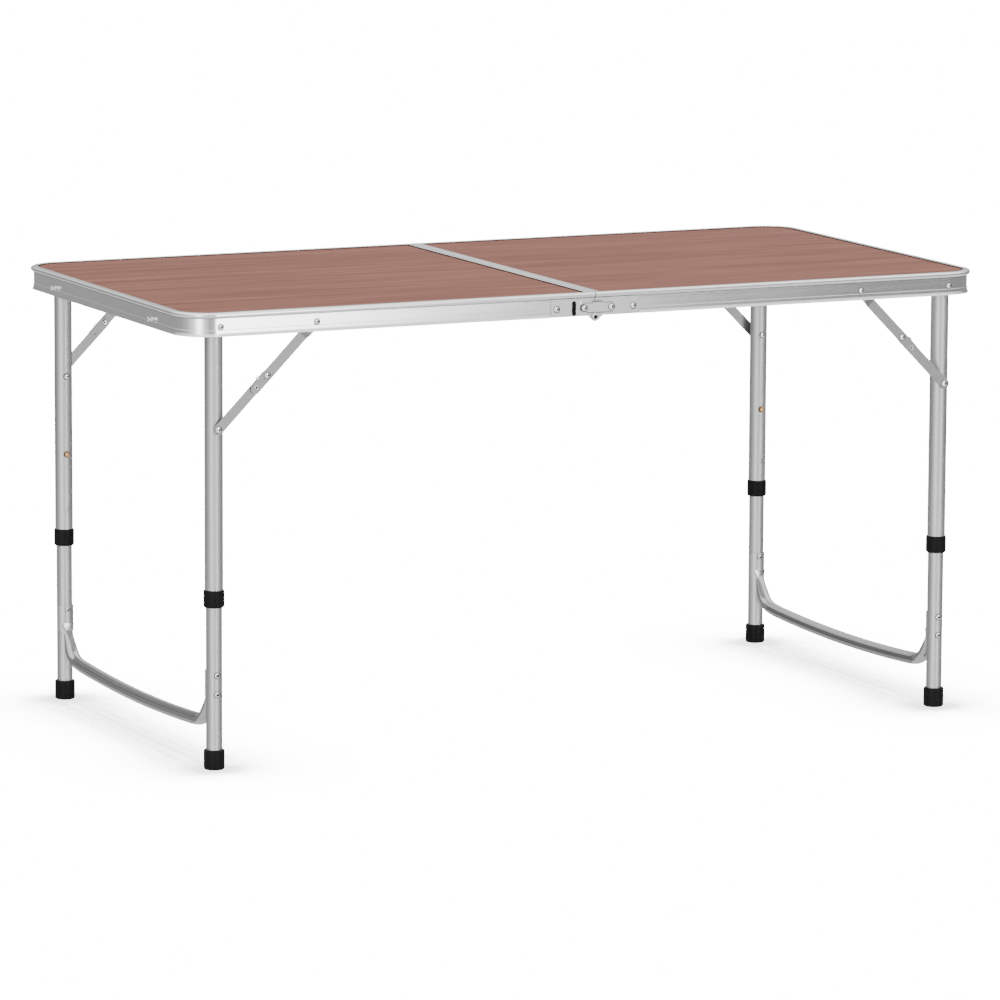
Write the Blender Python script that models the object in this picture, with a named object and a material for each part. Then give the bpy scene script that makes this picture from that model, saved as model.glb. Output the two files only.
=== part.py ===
"""Folding picnic table: two framed top halves on a centre hinge, with telescopic fold-in legs.

World frame: X runs along the top, Y across it, Z up. The origin is on the floor under the middle
of the top. Shapes are built in the right-back quarter (X and Y both outward) and mirrored.
"""
import math

import bmesh
import bpy
from mathutils import Matrix, Vector

MM = 0.001
GAP = 0.3 * MM

# Top
TOP_Z = 0.618
HALF_LENGTH = 0.600
HALF_WIDTH = 0.300
CORNER_RADIUS = 0.050
CORNER_STEPS = 6
PANEL_TOP_DROP = 1.5 * MM
PANEL_THICKNESS = 3.0 * MM
PANEL_EDGE = 6.3 * MM

# The rim's section: distance inward from the outline (negative) and height from the top, in mm.
RIM_SECTION = [
    (-9.0, -0.9), (-8.3, -0.2), (-6.8, 0.0), (-1.4, 0.0), (0.4, -0.8), (1.2, -2.6), (0.9, -4.8),
    (-0.6, -6.8), (-1.9, -7.2), (-2.2, -9.6), (-3.0, -10.4), (-3.0, -23.0), (-2.5, -23.6),
    (-2.5, -28.3), (-1.2, -30.2), (-0.9, -32.0), (-3.6, -32.0), (-4.8, -29.8), (-4.8, -6.3),
    (-9.0, -6.3), (-9.0, -4.8), (-6.0, -4.8), (-6.0, -1.2), (-9.0, -1.2),
]

# Legs
LEG_X = 0.5487
LEG_Y = 0.2717
PIVOT_Z = TOP_Z - 0.019
OUTER_RADIUS = 12.5 * MM
INNER_RADIUS = 11.0 * MM
TUBE_WALL = 1.2 * MM
TUBE_SIDES = 16
SMALL_SIDES = 8
BUTTON_SIDES = 10
OUTER_BOTTOM_Z = 0.2235
INNER_TOP_Z = 0.392
COLLAR_BOTTOM_Z = 0.220
COLLAR_TOP_Z = 0.2435
COLLAR_RADIUS = 14.25 * MM
FOOT_HEIGHT = 0.027
FOOT_SOLE = 3.0 * MM
BUTTON_Z = 0.350
SPARE_HOLE_Z = 0.273
CLOSE_TRAVEL = 0.065
BUTTON_RADIUS = 3.7 * MM

# Crossbars, with a saddle riveted to each lower tube
SADDLE_RIVET_Z = (0.1285, 0.1025)
SADDLE_Z = (0.0985, 0.135)
BAR_MIDDLE_Z = 0.0515
BAR_END_Z = 0.0572
BAR_END_IN = 0.072
BAR_RUN_STEPS = 3
BAR_SIDES = 8
BAR_HALF_WIDTH = 10.0 * MM
BAR_HALF_THICKNESS = 8.8 * MM

# The bar's end from the saddle down to the level run: inward from the leg's axis, height,
# half-width along X and half-thickness, in mm.
BAR_BEND = [
    (12.05, 110.0, 9.0, 0.7), (12.9, 100.5, 7.5, 1.4), (15.9, 92.5, 7.0, 4.0), (19.6, 84.5, 8.0, 6.2),
    (24.5, 76.0, 9.0, 7.4), (31.0, 68.2, 9.5, 7.9), (40.0, 62.4, 9.8, 8.3), (54.0, 59.0, 10.0, 8.6),
]

# Braces: two equal flat links between the rim and the leg, straight at 45 degrees when open
BRACE_ARM = 0.1385
BRACE_LINK = BRACE_ARM / math.sqrt(2)
BRACE_HALF_WIDTH = 7.0 * MM
BRACE_THICKNESS = 1.8 * MM
BRACE_END_STEPS = 5
BRACE_TAIL = 0.024
LOWER_LINK_Y = 0.2872
UPPER_LINK_Y = 0.2893
UPPER_LINK_END_Y = 0.2929
JOGGLE_STOPS = (0.0105, 0.018, 0.026, 0.034)
RIVET_RADIUS = 2.5 * MM
RIM_HEAD = [(RIVET_RADIUS, 0.2973), (3.9 * MM, 0.2973), (3.6 * MM, 0.2980), (2.2 * MM, 0.2986)]

# Centre hinge, in x and height from the top
FOLD_AXIS_DROP = 33.5 * MM
HINGE_RIVET_DROP = 21.0 * MM
HOOK_STUD_X = -16.7 * MM
HOOK_PIVOT_X = 24.2 * MM
HINGE_LENGTH = 66.0 * MM
HOOK_HALF_WIDTH = 6.0 * MM
HOOK_TIP_RADIUS = 5.0 * MM
LOBE_RADIUS = 6.0 * MM
MOUTH_RADIUS = 3.0 * MM

# Ends: catch studs on the left, swing hasps and a bail handle on the right
LATCH_Y = 0.1765
STUD_DROP = 20.5 * MM
HASP_AXIS_DROP = 13.8 * MM
HANDLE_BRACKET_Y = 0.055
HANDLE_AXIS_DROP = 18.8 * MM
HANDLE_AXIS_OUT = 1.6 * MM
END_REACH = 4.6 * MM

CORNERS = {"fl": (-1, -1), "fr": (1, -1), "bl": (-1, 1), "br": (1, 1)}
HALVES = {"left": -1, "right": 1}
FACES = {"front": -1, "back": 1}


# ---------------------------------------------------------------- helpers

def clear_scene():
    for item in list(bpy.data.objects):
        bpy.data.objects.remove(item, do_unlink=True)


def make_material(name, colour, roughness, metallic):
    material = bpy.data.materials.new(name)
    material.use_nodes = True
    shader = material.node_tree.nodes["Principled BSDF"]
    shader.inputs["Base Color"].default_value = (*colour, 1.0)
    shader.inputs["Roughness"].default_value = roughness
    shader.inputs["Metallic"].default_value = metallic
    material.diffuse_color = (*colour, 1.0)
    return material


def loft(mesh, rings, closed=False):
    """Skin a row of equal rings; closed joins the last to the first, otherwise the ends are capped."""
    rows = [[mesh.verts.new(point) for point in ring] for ring in rings]
    count = len(rings[0])
    pairs = list(zip(rows, rows[1:]))
    if closed:
        pairs.append((rows[-1], rows[0]))
    for low, high in pairs:
        for i in range(count):
            j = (i + 1) % count
            mesh.faces.new((low[i], low[j], high[j], high[i]))
    if not closed:
        mesh.faces.new(rows[0])
        mesh.faces.new(list(reversed(rows[-1])))
    return mesh


def circle(radius, sides, start=0.0, sweep=360.0):
    full = abs(sweep) == 360.0
    steps = sides if full else sides - 1
    angles = [math.radians(start + sweep * i / steps) for i in range(sides)]
    return [(radius * math.cos(a), radius * math.sin(a)) for a in angles]


def arc(centre, radius, start, end, steps):
    """Points of an arc in degrees, both ends included."""
    points = circle(radius, steps + 1, start, end - start)
    return [(centre[0] + x, centre[1] + y) for x, y in points]


def on_axis(axis, u, v, along):
    """A world point from two cross-axis coordinates and one along the axis."""
    if axis == "X":
        return Vector((along, u, v))
    if axis == "Y":
        return Vector((u, along, v))
    return Vector((u, v, along))


def prism(mesh, outline, axis, low, high):
    return loft(mesh, [[on_axis(axis, u, v, h) for u, v in outline] for h in (low, high)])


def box(mesh, x, y, z):
    outline = [(x[0], y[0]), (x[1], y[0]), (x[1], y[1]), (x[0], y[1])]
    return prism(mesh, outline, "Z", z[0], z[1])


def turned(mesh, profile, axis, centre, sides=SMALL_SIDES):
    """A solid of revolution; the profile lists (radius, distance along the axis)."""
    rings = []
    for radius, along in profile:
        points = circle(radius, sides)
        rings.append([on_axis(axis, centre[0] + u, centre[1] + v, along) for u, v in points])
    return loft(mesh, rings)


def mirrored(mesh, side):
    bmesh.ops.transform(mesh, matrix=Matrix.Diagonal((side[0], side[1], 1, 1)), verts=mesh.verts)
    bmesh.ops.recalc_face_normals(mesh, faces=mesh.faces)


def link_object(name, mesh, side, origin):
    mirrored(mesh, side)
    data = bpy.data.meshes.new(name)
    mesh.to_mesh(data)
    mesh.free()
    place = Vector((origin[0] * side[0], origin[1] * side[1], origin[2]))
    data.transform(Matrix.Translation(-place))
    item = bpy.data.objects.new(name, data)
    item.location = place
    bpy.context.scene.collection.objects.link(item)
    return item


def solid(name, mesh, material, side=(1, 1), origin=(0, 0, 0)):
    """A named sub-part, its origin on its joint's axis where it moves."""
    item = link_object(name, mesh, side, origin)
    item.data.shade_smooth()
    item.data.set_sharp_from_angle(angle=math.radians(32))
    item.data.materials.append(material)
    return item


def helper(name, mesh, side=(1, 1)):
    item = link_object(name, mesh, side, (0, 0, 0))
    item.hide_render = True
    item.display_type = "WIRE"
    return item


def combine(item, operand, operation):
    modifier = item.modifiers.new(operand.name, "BOOLEAN")
    modifier.operation = operation
    modifier.solver = "EXACT"
    modifier.object = operand


def cut(item, mesh, side=(1, 1)):
    tool = helper("cut_" + item.name + str(len(item.modifiers)), mesh, side)
    combine(item, tool, "DIFFERENCE")


def join(item, mesh, side=(1, 1)):
    tool = helper("join_" + item.name + str(len(item.modifiers)), mesh, side)
    combine(item, tool, "UNION")


def out_y(inset):
    """The y of a surface inset (negative: proud) from the long side's outline."""
    return HALF_WIDTH - inset


def down(drop):
    return TOP_Z - drop


# ---------------------------------------------------------------- top

def rim_path():
    """Points of the rim's outline with their outward normals, front seam to back seam."""
    straight = HALF_LENGTH - CORNER_RADIUS
    side_y = HALF_WIDTH - CORNER_RADIUS
    path = [((GAP, -HALF_WIDTH), -90.0)]
    for centre_y, start in ((-side_y, -90.0), (side_y, 0.0)):
        for step in range(CORNER_STEPS + 1):
            angle = start + 90.0 * step / CORNER_STEPS
            turn = math.radians(angle)
            x = straight + CORNER_RADIUS * math.cos(turn)
            y = centre_y + CORNER_RADIUS * math.sin(turn)
            path.append(((x, y), angle))
    path.append(((GAP, HALF_WIDTH), 90.0))
    return path


def pivot_holes():
    """Cutters for the leg's and the brace's pivots through one long side."""
    holes = bmesh.new()
    for radius, x in ((3.4 * MM, LEG_X), (2.9 * MM, LEG_X - BRACE_ARM)):
        turned(holes, [(radius, out_y(7 * MM)), (radius, out_y(-1 * MM))], "Y", (x, PIVOT_Z))
    return holes


def hinge_rivet_x(half):
    """Where the plate's stud or hook pivot and its plain rivet stand."""
    return (HOOK_STUD_X, -57.6 * MM) if half == "left" else (HOOK_PIVOT_X, 57.6 * MM)


def make_rim(half, material):
    side = (HALVES[half], 1)
    mesh = bmesh.new()
    rings = []
    for (x, y), angle in rim_path():
        outward = Vector((math.cos(math.radians(angle)), math.sin(math.radians(angle)), 0))
        base = Vector((x, y, TOP_Z))
        rings.append([base + outward * (n * MM) + Vector((0, 0, z * MM)) for n, z in RIM_SECTION])
    loft(mesh, rings)
    rim = solid("rim_" + half, mesh, material, side)
    for sign in FACES.values():
        seat = bmesh.new()
        depth = (out_y(2.95 * MM), out_y(-2 * MM))
        box(seat, (-1 * MM, 67.0 * MM), depth, (down(34.5 * MM), down(7.3 * MM)))
        cut(rim, seat, (HALVES[half], sign))
        notch = bmesh.new()
        depth = (out_y(7 * MM), out_y(-2 * MM))
        box(notch, (-1 * MM, 9.0 * MM), depth, (down(34.5 * MM), down(29.0 * MM)))
        cut(rim, notch, (HALVES[half], sign))
        cut(rim, pivot_holes(), (HALVES[half], sign))
        rivets = bmesh.new()
        for x in hinge_rivet_x(half):
            profile = [(2.5 * MM, out_y(7 * MM)), (2.5 * MM, out_y(0))]
            turned(rivets, profile, "Y", (abs(x), down(HINGE_RIVET_DROP)))
        if half == "left":
            slot = slot_outline(3.0 * MM)
            prism(rivets, [(-x, z) for x, z in slot], "Y", out_y(7 * MM), out_y(0))
        cut(rim, rivets, (HALVES[half], sign))
        if half == "left":
            stud_hole = bmesh.new()
            profile = [(2.5 * MM, HALF_LENGTH - 7 * MM), (2.5 * MM, HALF_LENGTH)]
            turned(stud_hole, profile, "X", (LATCH_Y, down(STUD_DROP)))
            cut(rim, stud_hole, (-1, sign))
    return rim


def slot_outline(half_width):
    """The upright slot in the left hinge plate and the rim behind it."""
    x = -31.6 * MM
    top = arc((x, down(14.5 * MM)), half_width, 0, 180, 6)
    bottom = arc((x, down(26.5 * MM)), half_width, 180, 360, 6)
    return top + bottom


def make_centre_rail(half, material):
    """One of the two rails that meet at the seam, with a channel for the panel's inner edge."""
    section = [
        (10.5, -0.4), (10.0, 0.0), (0.9, 0.0), (0.3, -0.6), (0.3, -31.5), (2.1, -31.5), (2.1, -6.3),
        (10.5, -6.3), (10.5, -4.8), (7.5, -4.8), (7.5, -1.2), (10.5, -1.2),
    ]
    end_y = out_y(9.3 * MM)
    outline = [(x * MM, down(-z * MM)) for x, z in section]
    mesh = prism(bmesh.new(), outline, "Y", -end_y, end_y)
    return solid("centre_rail_" + half, mesh, material, (HALVES[half], 1))


def make_panel(half, material):
    reach_x = HALF_LENGTH - PANEL_EDGE
    reach_y = HALF_WIDTH - PANEL_EDGE
    radius = CORNER_RADIUS - PANEL_EDGE
    outline = [(7.8 * MM, -reach_y)]
    outline += arc((reach_x - radius, radius - reach_y), radius, -90, 0, CORNER_STEPS)
    outline += arc((reach_x - radius, reach_y - radius), radius, 0, 90, CORNER_STEPS)
    outline.append((7.8 * MM, reach_y))
    top = down(PANEL_TOP_DROP)
    mesh = prism(bmesh.new(), outline, "Z", top - PANEL_THICKNESS, top)
    return solid("panel_" + half, mesh, material, (HALVES[half], 1))


# ---------------------------------------------------------------- centre hinge

def plate_rivet(mesh, x, head_from, head_to):
    """A rivet through plate and rim, with its head outside and its tail inside the rim."""
    profile = [
        (3.2 * MM, out_y(6.3 * MM)), (3.6 * MM, out_y(6.0 * MM)), (3.6 * MM, out_y(5.1 * MM)),
        (2.0 * MM, out_y(5.1 * MM)), (2.0 * MM, out_y(head_from)), (4.2 * MM, out_y(head_from)),
        (3.9 * MM, out_y(head_from - 0.6 * (head_from - head_to))), (2.2 * MM, out_y(head_to)),
    ]
    turned(mesh, profile, "Y", (x, down(HINGE_RIVET_DROP)))


def lobe(start, end, steps):
    return arc((0.0, down(FOLD_AXIS_DROP)), LOBE_RADIUS, start, end, steps)


def make_hinge_plate(half, face, material):
    side = (1, FACES[face])
    top = down(7.6 * MM)
    bottom = down(31.7 * MM)
    mesh = bmesh.new()
    if half == "left":
        outline = [(-HINGE_LENGTH, bottom), (-HINGE_LENGTH, top), (-0.6 * MM, top)]
        outline += [(-0.6 * MM, down(27.6 * MM))] + lobe(80, -150, 10) + [(-10.5 * MM, bottom)]
    else:
        outline = [(10.0 * MM, bottom), (HINGE_LENGTH, bottom), (HINGE_LENGTH, top)]
        outline += [(0.6 * MM, top), (0.6 * MM, down(27.0 * MM)), (10.0 * MM, down(27.0 * MM))]
    prism(mesh, outline, "Y", out_y(2.7 * MM), out_y(1.5 * MM))
    plate = solid("hinge_plate_%s_%s" % (half, face), mesh, material, side)
    if half == "right":
        # The right knuckle stands one plate's thickness proud, so it passes in front of the left one
        bridge = bmesh.new()
        bridge_z = (down(31.5 * MM), down(28.5 * MM))
        box(bridge, (6.5 * MM, 12.0 * MM), (out_y(2.5 * MM), out_y(0.3 * MM)), bridge_z)
        join(plate, bridge, side)
        knuckle = bmesh.new()
        shape = lobe(100, 310, 10) + [(11.0 * MM, down(31.6 * MM)), (11.0 * MM, down(28.6 * MM))]
        prism(knuckle, shape, "Y", out_y(1.2 * MM), out_y(0.1 * MM))
        join(plate, knuckle, side)
    pin_bore = bmesh.new()
    profile = [(2.6 * MM, out_y(8 * MM)), (2.6 * MM, out_y(-2 * MM))]
    turned(pin_bore, profile, "Y", (0.0, down(FOLD_AXIS_DROP)))
    cut(plate, pin_bore, side)
    if half == "left":
        cut(plate, prism(bmesh.new(), slot_outline(2.4 * MM), "Y", out_y(4 * MM), out_y(0)), side)
    stud_x, rivet_x = hinge_rivet_x(half)
    fixed = bmesh.new()
    plate_rivet(fixed, rivet_x, 1.8 * MM, 0.3 * MM)
    join(plate, fixed, side)
    tall = bmesh.new()
    plate_rivet(tall, stud_x, -0.2 * MM, -1.4 * MM)
    join(plate, tall, side)
    return plate


def make_hinge_pin(face, material):
    profile = [
        (3.1 * MM, out_y(4.4 * MM)), (3.4 * MM, out_y(4.1 * MM)), (3.4 * MM, out_y(3.0 * MM)),
        (2.2 * MM, out_y(3.0 * MM)), (2.2 * MM, out_y(-0.2 * MM)), (3.6 * MM, out_y(-0.2 * MM)),
        (3.3 * MM, out_y(-0.9 * MM)), (1.9 * MM, out_y(-1.4 * MM)),
    ]
    axis_z = down(FOLD_AXIS_DROP)
    mesh = turned(bmesh.new(), profile, "Y", (0.0, axis_z))
    return solid("hinge_pin_" + face, mesh, material, (1, FACES[face]), (0, HALF_WIDTH, axis_z))


def make_hook(face, material):
    """The locking hook: a pivot eye, a thumb tab and a mouth that drops over the stud."""
    side = (1, FACES[face])
    z = down(HINGE_RIVET_DROP)
    stud = (HOOK_STUD_X, z)
    pivot = (HOOK_PIVOT_X, z)
    axis_z = down(FOLD_AXIS_DROP)
    top = z + HOOK_HALF_WIDTH
    tab_top = down(10.3 * MM)
    # The stud leaves the mouth along this arc about the fold axis
    stud_angle = math.degrees(math.atan2(z - axis_z, HOOK_STUD_X))
    leave_radius = math.hypot(HOOK_STUD_X, z - axis_z) + MOUTH_RADIUS
    tip_angle = 10.4
    outline = arc(pivot, HOOK_HALF_WIDTH, -90, 90, 10)
    outline += [(11 * MM, top), (11 * MM, tab_top), (-3 * MM, tab_top), (-3 * MM, top)]
    outline += arc(stud, HOOK_TIP_RADIUS, 90, 202, 10)
    outline += arc((0.0, axis_z), leave_radius, stud_angle + tip_angle, stud_angle, 3)
    outline += arc(stud, MOUTH_RADIUS, stud_angle, 0, 8)[1:]
    outline.append((HOOK_STUD_X + MOUTH_RADIUS, z - HOOK_HALF_WIDTH))
    mesh = prism(bmesh.new(), outline, "Y", out_y(1.2 * MM), out_y(0.1 * MM))
    origin = (HOOK_PIVOT_X, HALF_WIDTH, z)
    hook = solid("hinge_hook_" + face, mesh, material, side, origin)
    lip = bmesh.new()
    lip_z = (tab_top - 1.3 * MM, tab_top - 0.1 * MM)
    box(lip, (-2.5 * MM, 10.5 * MM), (out_y(1.0 * MM), out_y(-1.6 * MM)), lip_z)
    join(hook, lip, side)
    eye = bmesh.new()
    turned(eye, [(2.6 * MM, out_y(3 * MM)), (2.6 * MM, out_y(-2 * MM))], "Y", pivot)
    cut(hook, eye, side)
    return hook


# ---------------------------------------------------------------- legs

def bore_along_y(x, z, radius, y_from, y_to, sides=SMALL_SIDES):
    return turned(bmesh.new(), [(radius, y_from), (radius, y_to)], "Y", (x, z), sides)


def tube_mesh(radius, bottom, top_of):
    """An open tube round the leg's axis; top_of gives the top edge's height at each x offset."""
    rings = []
    bore = radius - TUBE_WALL
    for ring_radius, at_top in ((radius, False), (radius, True), (bore, True), (bore, False)):
        ring = []
        for u, v in circle(ring_radius, TUBE_SIDES):
            ring.append(Vector((LEG_X + u, LEG_Y + v, top_of(u) if at_top else bottom)))
        rings.append(ring)
    return loft(bmesh.new(), rings, closed=True)


def rounded_top(offset):
    """The outer tube's top is rounded about the pivot, so that it turns under the panel."""
    share = min(1.0, abs(offset) / OUTER_RADIUS)
    return PIVOT_Z + 12.2 * MM * math.sqrt(1.0 - share * share)


def leg_rings(section):
    """Rings round the leg's axis from (radius, height) pairs."""
    rings = []
    for radius, z in section:
        points = circle(radius, TUBE_SIDES)
        rings.append([Vector((LEG_X + u, LEG_Y + v, z)) for u, v in points])
    return rings


def make_leg(corner, materials):
    side = CORNERS[corner]
    inner_side = (LEG_Y - 16 * MM, LEG_Y)
    through = (LEG_Y - 16 * MM, LEG_Y + 16 * MM)
    pivot = (LEG_X, LEG_Y, PIVOT_Z)

    outer = solid("leg_outer_" + corner, tube_mesh(OUTER_RADIUS, OUTER_BOTTOM_Z, rounded_top),
                  materials["tube"], side, pivot)
    holes = [(PIVOT_Z, 3.4 * MM, through), (PIVOT_Z - BRACE_ARM, 2.9 * MM, through),
             (BUTTON_Z, 4.0 * MM, inner_side), (SPARE_HOLE_Z, 4.0 * MM, inner_side)]
    for z, radius, span in holes:
        cut(outer, bore_along_y(LEG_X, z, radius, *span, BUTTON_SIDES), side)

    inner = solid("leg_inner_" + corner, tube_mesh(INNER_RADIUS, FOOT_SOLE + GAP, lambda _: INNER_TOP_Z),
                  materials["tube"], side)
    for z in (BUTTON_Z, BUTTON_Z - CLOSE_TRAVEL):
        cut(inner, bore_along_y(LEG_X, z, 4.4 * MM, *inner_side, BUTTON_SIDES), side)
    for z in SADDLE_RIVET_Z:
        cut(inner, bore_along_y(LEG_X, z, 2.4 * MM, *through), side)

    seat = COLLAR_BOTTOM_Z + 3.2 * MM
    collar_section = [
        (INNER_RADIUS + GAP, COLLAR_BOTTOM_Z), (COLLAR_RADIUS - 1 * MM, COLLAR_BOTTOM_Z),
        (COLLAR_RADIUS, COLLAR_BOTTOM_Z + 1.5 * MM), (COLLAR_RADIUS, COLLAR_TOP_Z - 1.2 * MM),
        (COLLAR_RADIUS - 0.7 * MM, COLLAR_TOP_Z), (OUTER_RADIUS + GAP, COLLAR_TOP_Z),
        (OUTER_RADIUS + GAP, seat), (INNER_RADIUS + GAP, seat),
    ]
    collar = loft(bmesh.new(), leg_rings(collar_section), closed=True)
    solid("collar_" + corner, collar, materials["black"], side, pivot)

    foot_section = [
        (0.7 * COLLAR_RADIUS, 0.0), (COLLAR_RADIUS - 1.2 * MM, 0.0), (COLLAR_RADIUS, 1.8 * MM),
        (COLLAR_RADIUS, FOOT_HEIGHT - 1.0 * MM), (COLLAR_RADIUS - 0.8 * MM, FOOT_HEIGHT),
        (INNER_RADIUS + GAP, FOOT_HEIGHT), (INNER_RADIUS + GAP, FOOT_SOLE),
        (0.7 * COLLAR_RADIUS, FOOT_SOLE),
    ]
    foot = loft(bmesh.new(), leg_rings(foot_section))
    solid("foot_" + corner, foot, materials["black"], side)

    rivet_profile = [
        (3.9 * MM, 0.2574), (4.5 * MM, 0.2579), (4.5 * MM, 0.2589), (3.0 * MM, 0.2589),
        (3.0 * MM, 0.2845), (5.5 * MM, 0.2845), (5.5 * MM, 0.2941), (RIVET_RADIUS, 0.2941),
    ]
    rivet = turned(bmesh.new(), rivet_profile + RIM_HEAD, "Y", (LEG_X, PIVOT_Z))
    solid("leg_pivot_" + corner, rivet, materials["steel"], side, pivot)

    face = LEG_Y - OUTER_RADIUS
    button_profile = [
        (2.0 * MM, face - 4.0 * MM), (3.2 * MM, face - 3.0 * MM), (BUTTON_RADIUS, face - 1.6 * MM),
        (BUTTON_RADIUS, face + 1.1 * MM),
    ]
    button = turned(bmesh.new(), button_profile, "Y", (LEG_X, BUTTON_Z), BUTTON_SIDES)
    solid("snap_button_" + corner, button, materials["brass"], side, (LEG_X, face, BUTTON_Z))


# ---------------------------------------------------------------- crossbars

def bar_stations():
    """Stations from the back leg to the front one as (y, z, half-width, half-thickness)."""
    half = [(LEG_Y - s * MM, z * MM, a * MM, b * MM) for s, z, a, b in BAR_BEND]
    start = LEG_Y - BAR_END_IN
    for step in range(BAR_RUN_STEPS):
        y = start * (1.0 - step / BAR_RUN_STEPS)
        share = y / start
        z = BAR_MIDDLE_Z + (BAR_END_Z - BAR_MIDDLE_Z) * share * share
        half.append((y, z, BAR_HALF_WIDTH, BAR_HALF_THICKNESS))
    middle = [(0.0, BAR_MIDDLE_Z, BAR_HALF_WIDTH, BAR_HALF_THICKNESS)]
    return half + middle + [(-y, z, a, b) for y, z, a, b in reversed(half)]


def make_crossbar(half, material):
    side = (HALVES[half], 1)
    stations = bar_stations()
    rings = []
    for i, (y, z, width, thick) in enumerate(stations):
        before = stations[max(i - 1, 0)]
        after = stations[min(i + 1, len(stations) - 1)]
        along = Vector((0, after[0] - before[0], after[1] - before[1])).normalized()
        across = Vector((0, -along.z, along.y))
        centre = Vector((LEG_X, y, z))
        ring = []
        for u, v in circle(1.0, BAR_SIDES):
            ring.append(centre + Vector((u * width, 0, 0)) + across * (v * thick))
        rings.append(ring)
    bar = solid("crossbar_" + half, loft(bmesh.new(), rings), material, side)
    for sign in FACES.values():
        saddle = bmesh.new()
        inner = arc((LEG_X, LEG_Y), INNER_RADIUS + GAP, 195, 345, 10)
        outer = arc((LEG_X, LEG_Y), INNER_RADIUS + GAP + 1.2 * MM, 345, 195, 10)
        prism(saddle, inner + outer, "Z", *SADDLE_Z)
        join(bar, saddle, (HALVES[half], sign))
        for z in SADDLE_RIVET_Z:
            rivet = bmesh.new()
            profile = [
                (2.6 * MM, LEG_Y - 13.8 * MM), (3.4 * MM, LEG_Y - 12.1 * MM),
                (2.0 * MM, LEG_Y - 12.0 * MM), (2.0 * MM, LEG_Y + 11.3 * MM),
                (3.9 * MM, LEG_Y + 11.3 * MM), (2.4 * MM, LEG_Y + 12.9 * MM),
            ]
            turned(rivet, profile, "Y", (LEG_X, z))
            join(bar, rivet, (HALVES[half], sign))
    return bar


# ---------------------------------------------------------------- braces

BRACE_ALONG = Vector((math.sqrt(0.5), 0, -math.sqrt(0.5)))
BRACE_ACROSS = Vector((math.sqrt(0.5), 0, math.sqrt(0.5)))
BRACE_TOP = Vector((LEG_X - BRACE_ARM, 0, PIVOT_Z))
BRACE_FOOT = Vector((LEG_X, 0, PIVOT_Z - BRACE_ARM))
ELBOW = BRACE_TOP + BRACE_ALONG * BRACE_LINK


def strip_mesh(start, length, inner_face):
    """A flat strip with round ends; inner_face gives the inner face's y along its length."""
    rings = []
    radius = BRACE_HALF_WIDTH
    # Stations miss the rivets' facets, and the tip keeps a little width
    turns = [math.radians(90.0 * i / BRACE_END_STEPS - 5.0) for i in range(BRACE_END_STEPS + 1)]
    ends = [(radius * math.sin(t), radius * min(1.0, math.cos(t) + 0.004)) for t in turns]
    stops = [(-e, half_width) for e, half_width in reversed(ends)]
    stops += [(s, radius) for s in JOGGLE_STOPS]
    stops += [(length + e, half_width) for e, half_width in ends]
    for along, half_width in stops:
        centre = start + BRACE_ALONG * along
        y = inner_face(along)
        low = centre - BRACE_ACROSS * half_width
        high = centre + BRACE_ACROSS * half_width
        rings.append([
            Vector((low.x, y, low.z)), Vector((high.x, y, high.z)),
            Vector((high.x, y + BRACE_THICKNESS, high.z)), Vector((low.x, y + BRACE_THICKNESS, low.z)),
        ])
    return loft(bmesh.new(), rings)


def joggled(along):
    """The upper strip steps out to the rim over a short bend near its pivot."""
    share = min(1.0, max(0.0, (0.026 - along) / 0.008))
    return UPPER_LINK_Y + (UPPER_LINK_END_Y - UPPER_LINK_Y) * share


def make_upper_brace(corner, materials):
    side = CORNERS[corner]
    origin = (BRACE_TOP.x, UPPER_LINK_END_Y, BRACE_TOP.z)
    mesh = strip_mesh(BRACE_TOP, BRACE_LINK + BRACE_TAIL, joggled)
    strip = solid("brace_upper_" + corner, mesh, materials["strip"], side, origin)
    pin = bmesh.new()
    profile = [
        (3.2 * MM, UPPER_LINK_END_Y - 1.0 * MM), (3.2 * MM, UPPER_LINK_END_Y + 1.0 * MM),
        (RIVET_RADIUS, UPPER_LINK_END_Y + 1.0 * MM),
    ]
    turned(pin, profile + RIM_HEAD, "Y", (BRACE_TOP.x, BRACE_TOP.z))
    join(strip, pin, side)
    head = bmesh.new()
    face = UPPER_LINK_Y + BRACE_THICKNESS
    profile = [
        (4.2 * MM, face - 0.9 * MM), (4.2 * MM, face + 0.4 * MM), (3.4 * MM, face + 1.1 * MM),
        (1.6 * MM, face + 1.4 * MM),
    ]
    turned(head, profile, "Y", (ELBOW.x, ELBOW.z))
    join(strip, head, side)
    # The stop tab is bent over the lower strip's corner-side edge, just past the elbow
    tab = bmesh.new()
    near = BRACE_TOP + BRACE_ALONG * (BRACE_LINK + 8.6 * MM)
    far = BRACE_TOP + BRACE_ALONG * (BRACE_LINK + 14.0 * MM)
    section = [
        (5.5, face - 0.1 * MM), (8.7, face - 0.1 * MM), (8.7, LOWER_LINK_Y + 0.1 * MM),
        (7.5, LOWER_LINK_Y + 0.1 * MM), (7.5, UPPER_LINK_Y + 0.1 * MM), (5.5, UPPER_LINK_Y + 0.1 * MM),
    ]
    rings = []
    for end in (near, far):
        points = [end + BRACE_ACROSS * (offset * MM) for offset, _ in section]
        rings.append([Vector((p.x, y, p.z)) for p, (_, y) in zip(points, section)])
    loft(tab, rings)
    join(strip, tab, side)
    return strip


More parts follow.
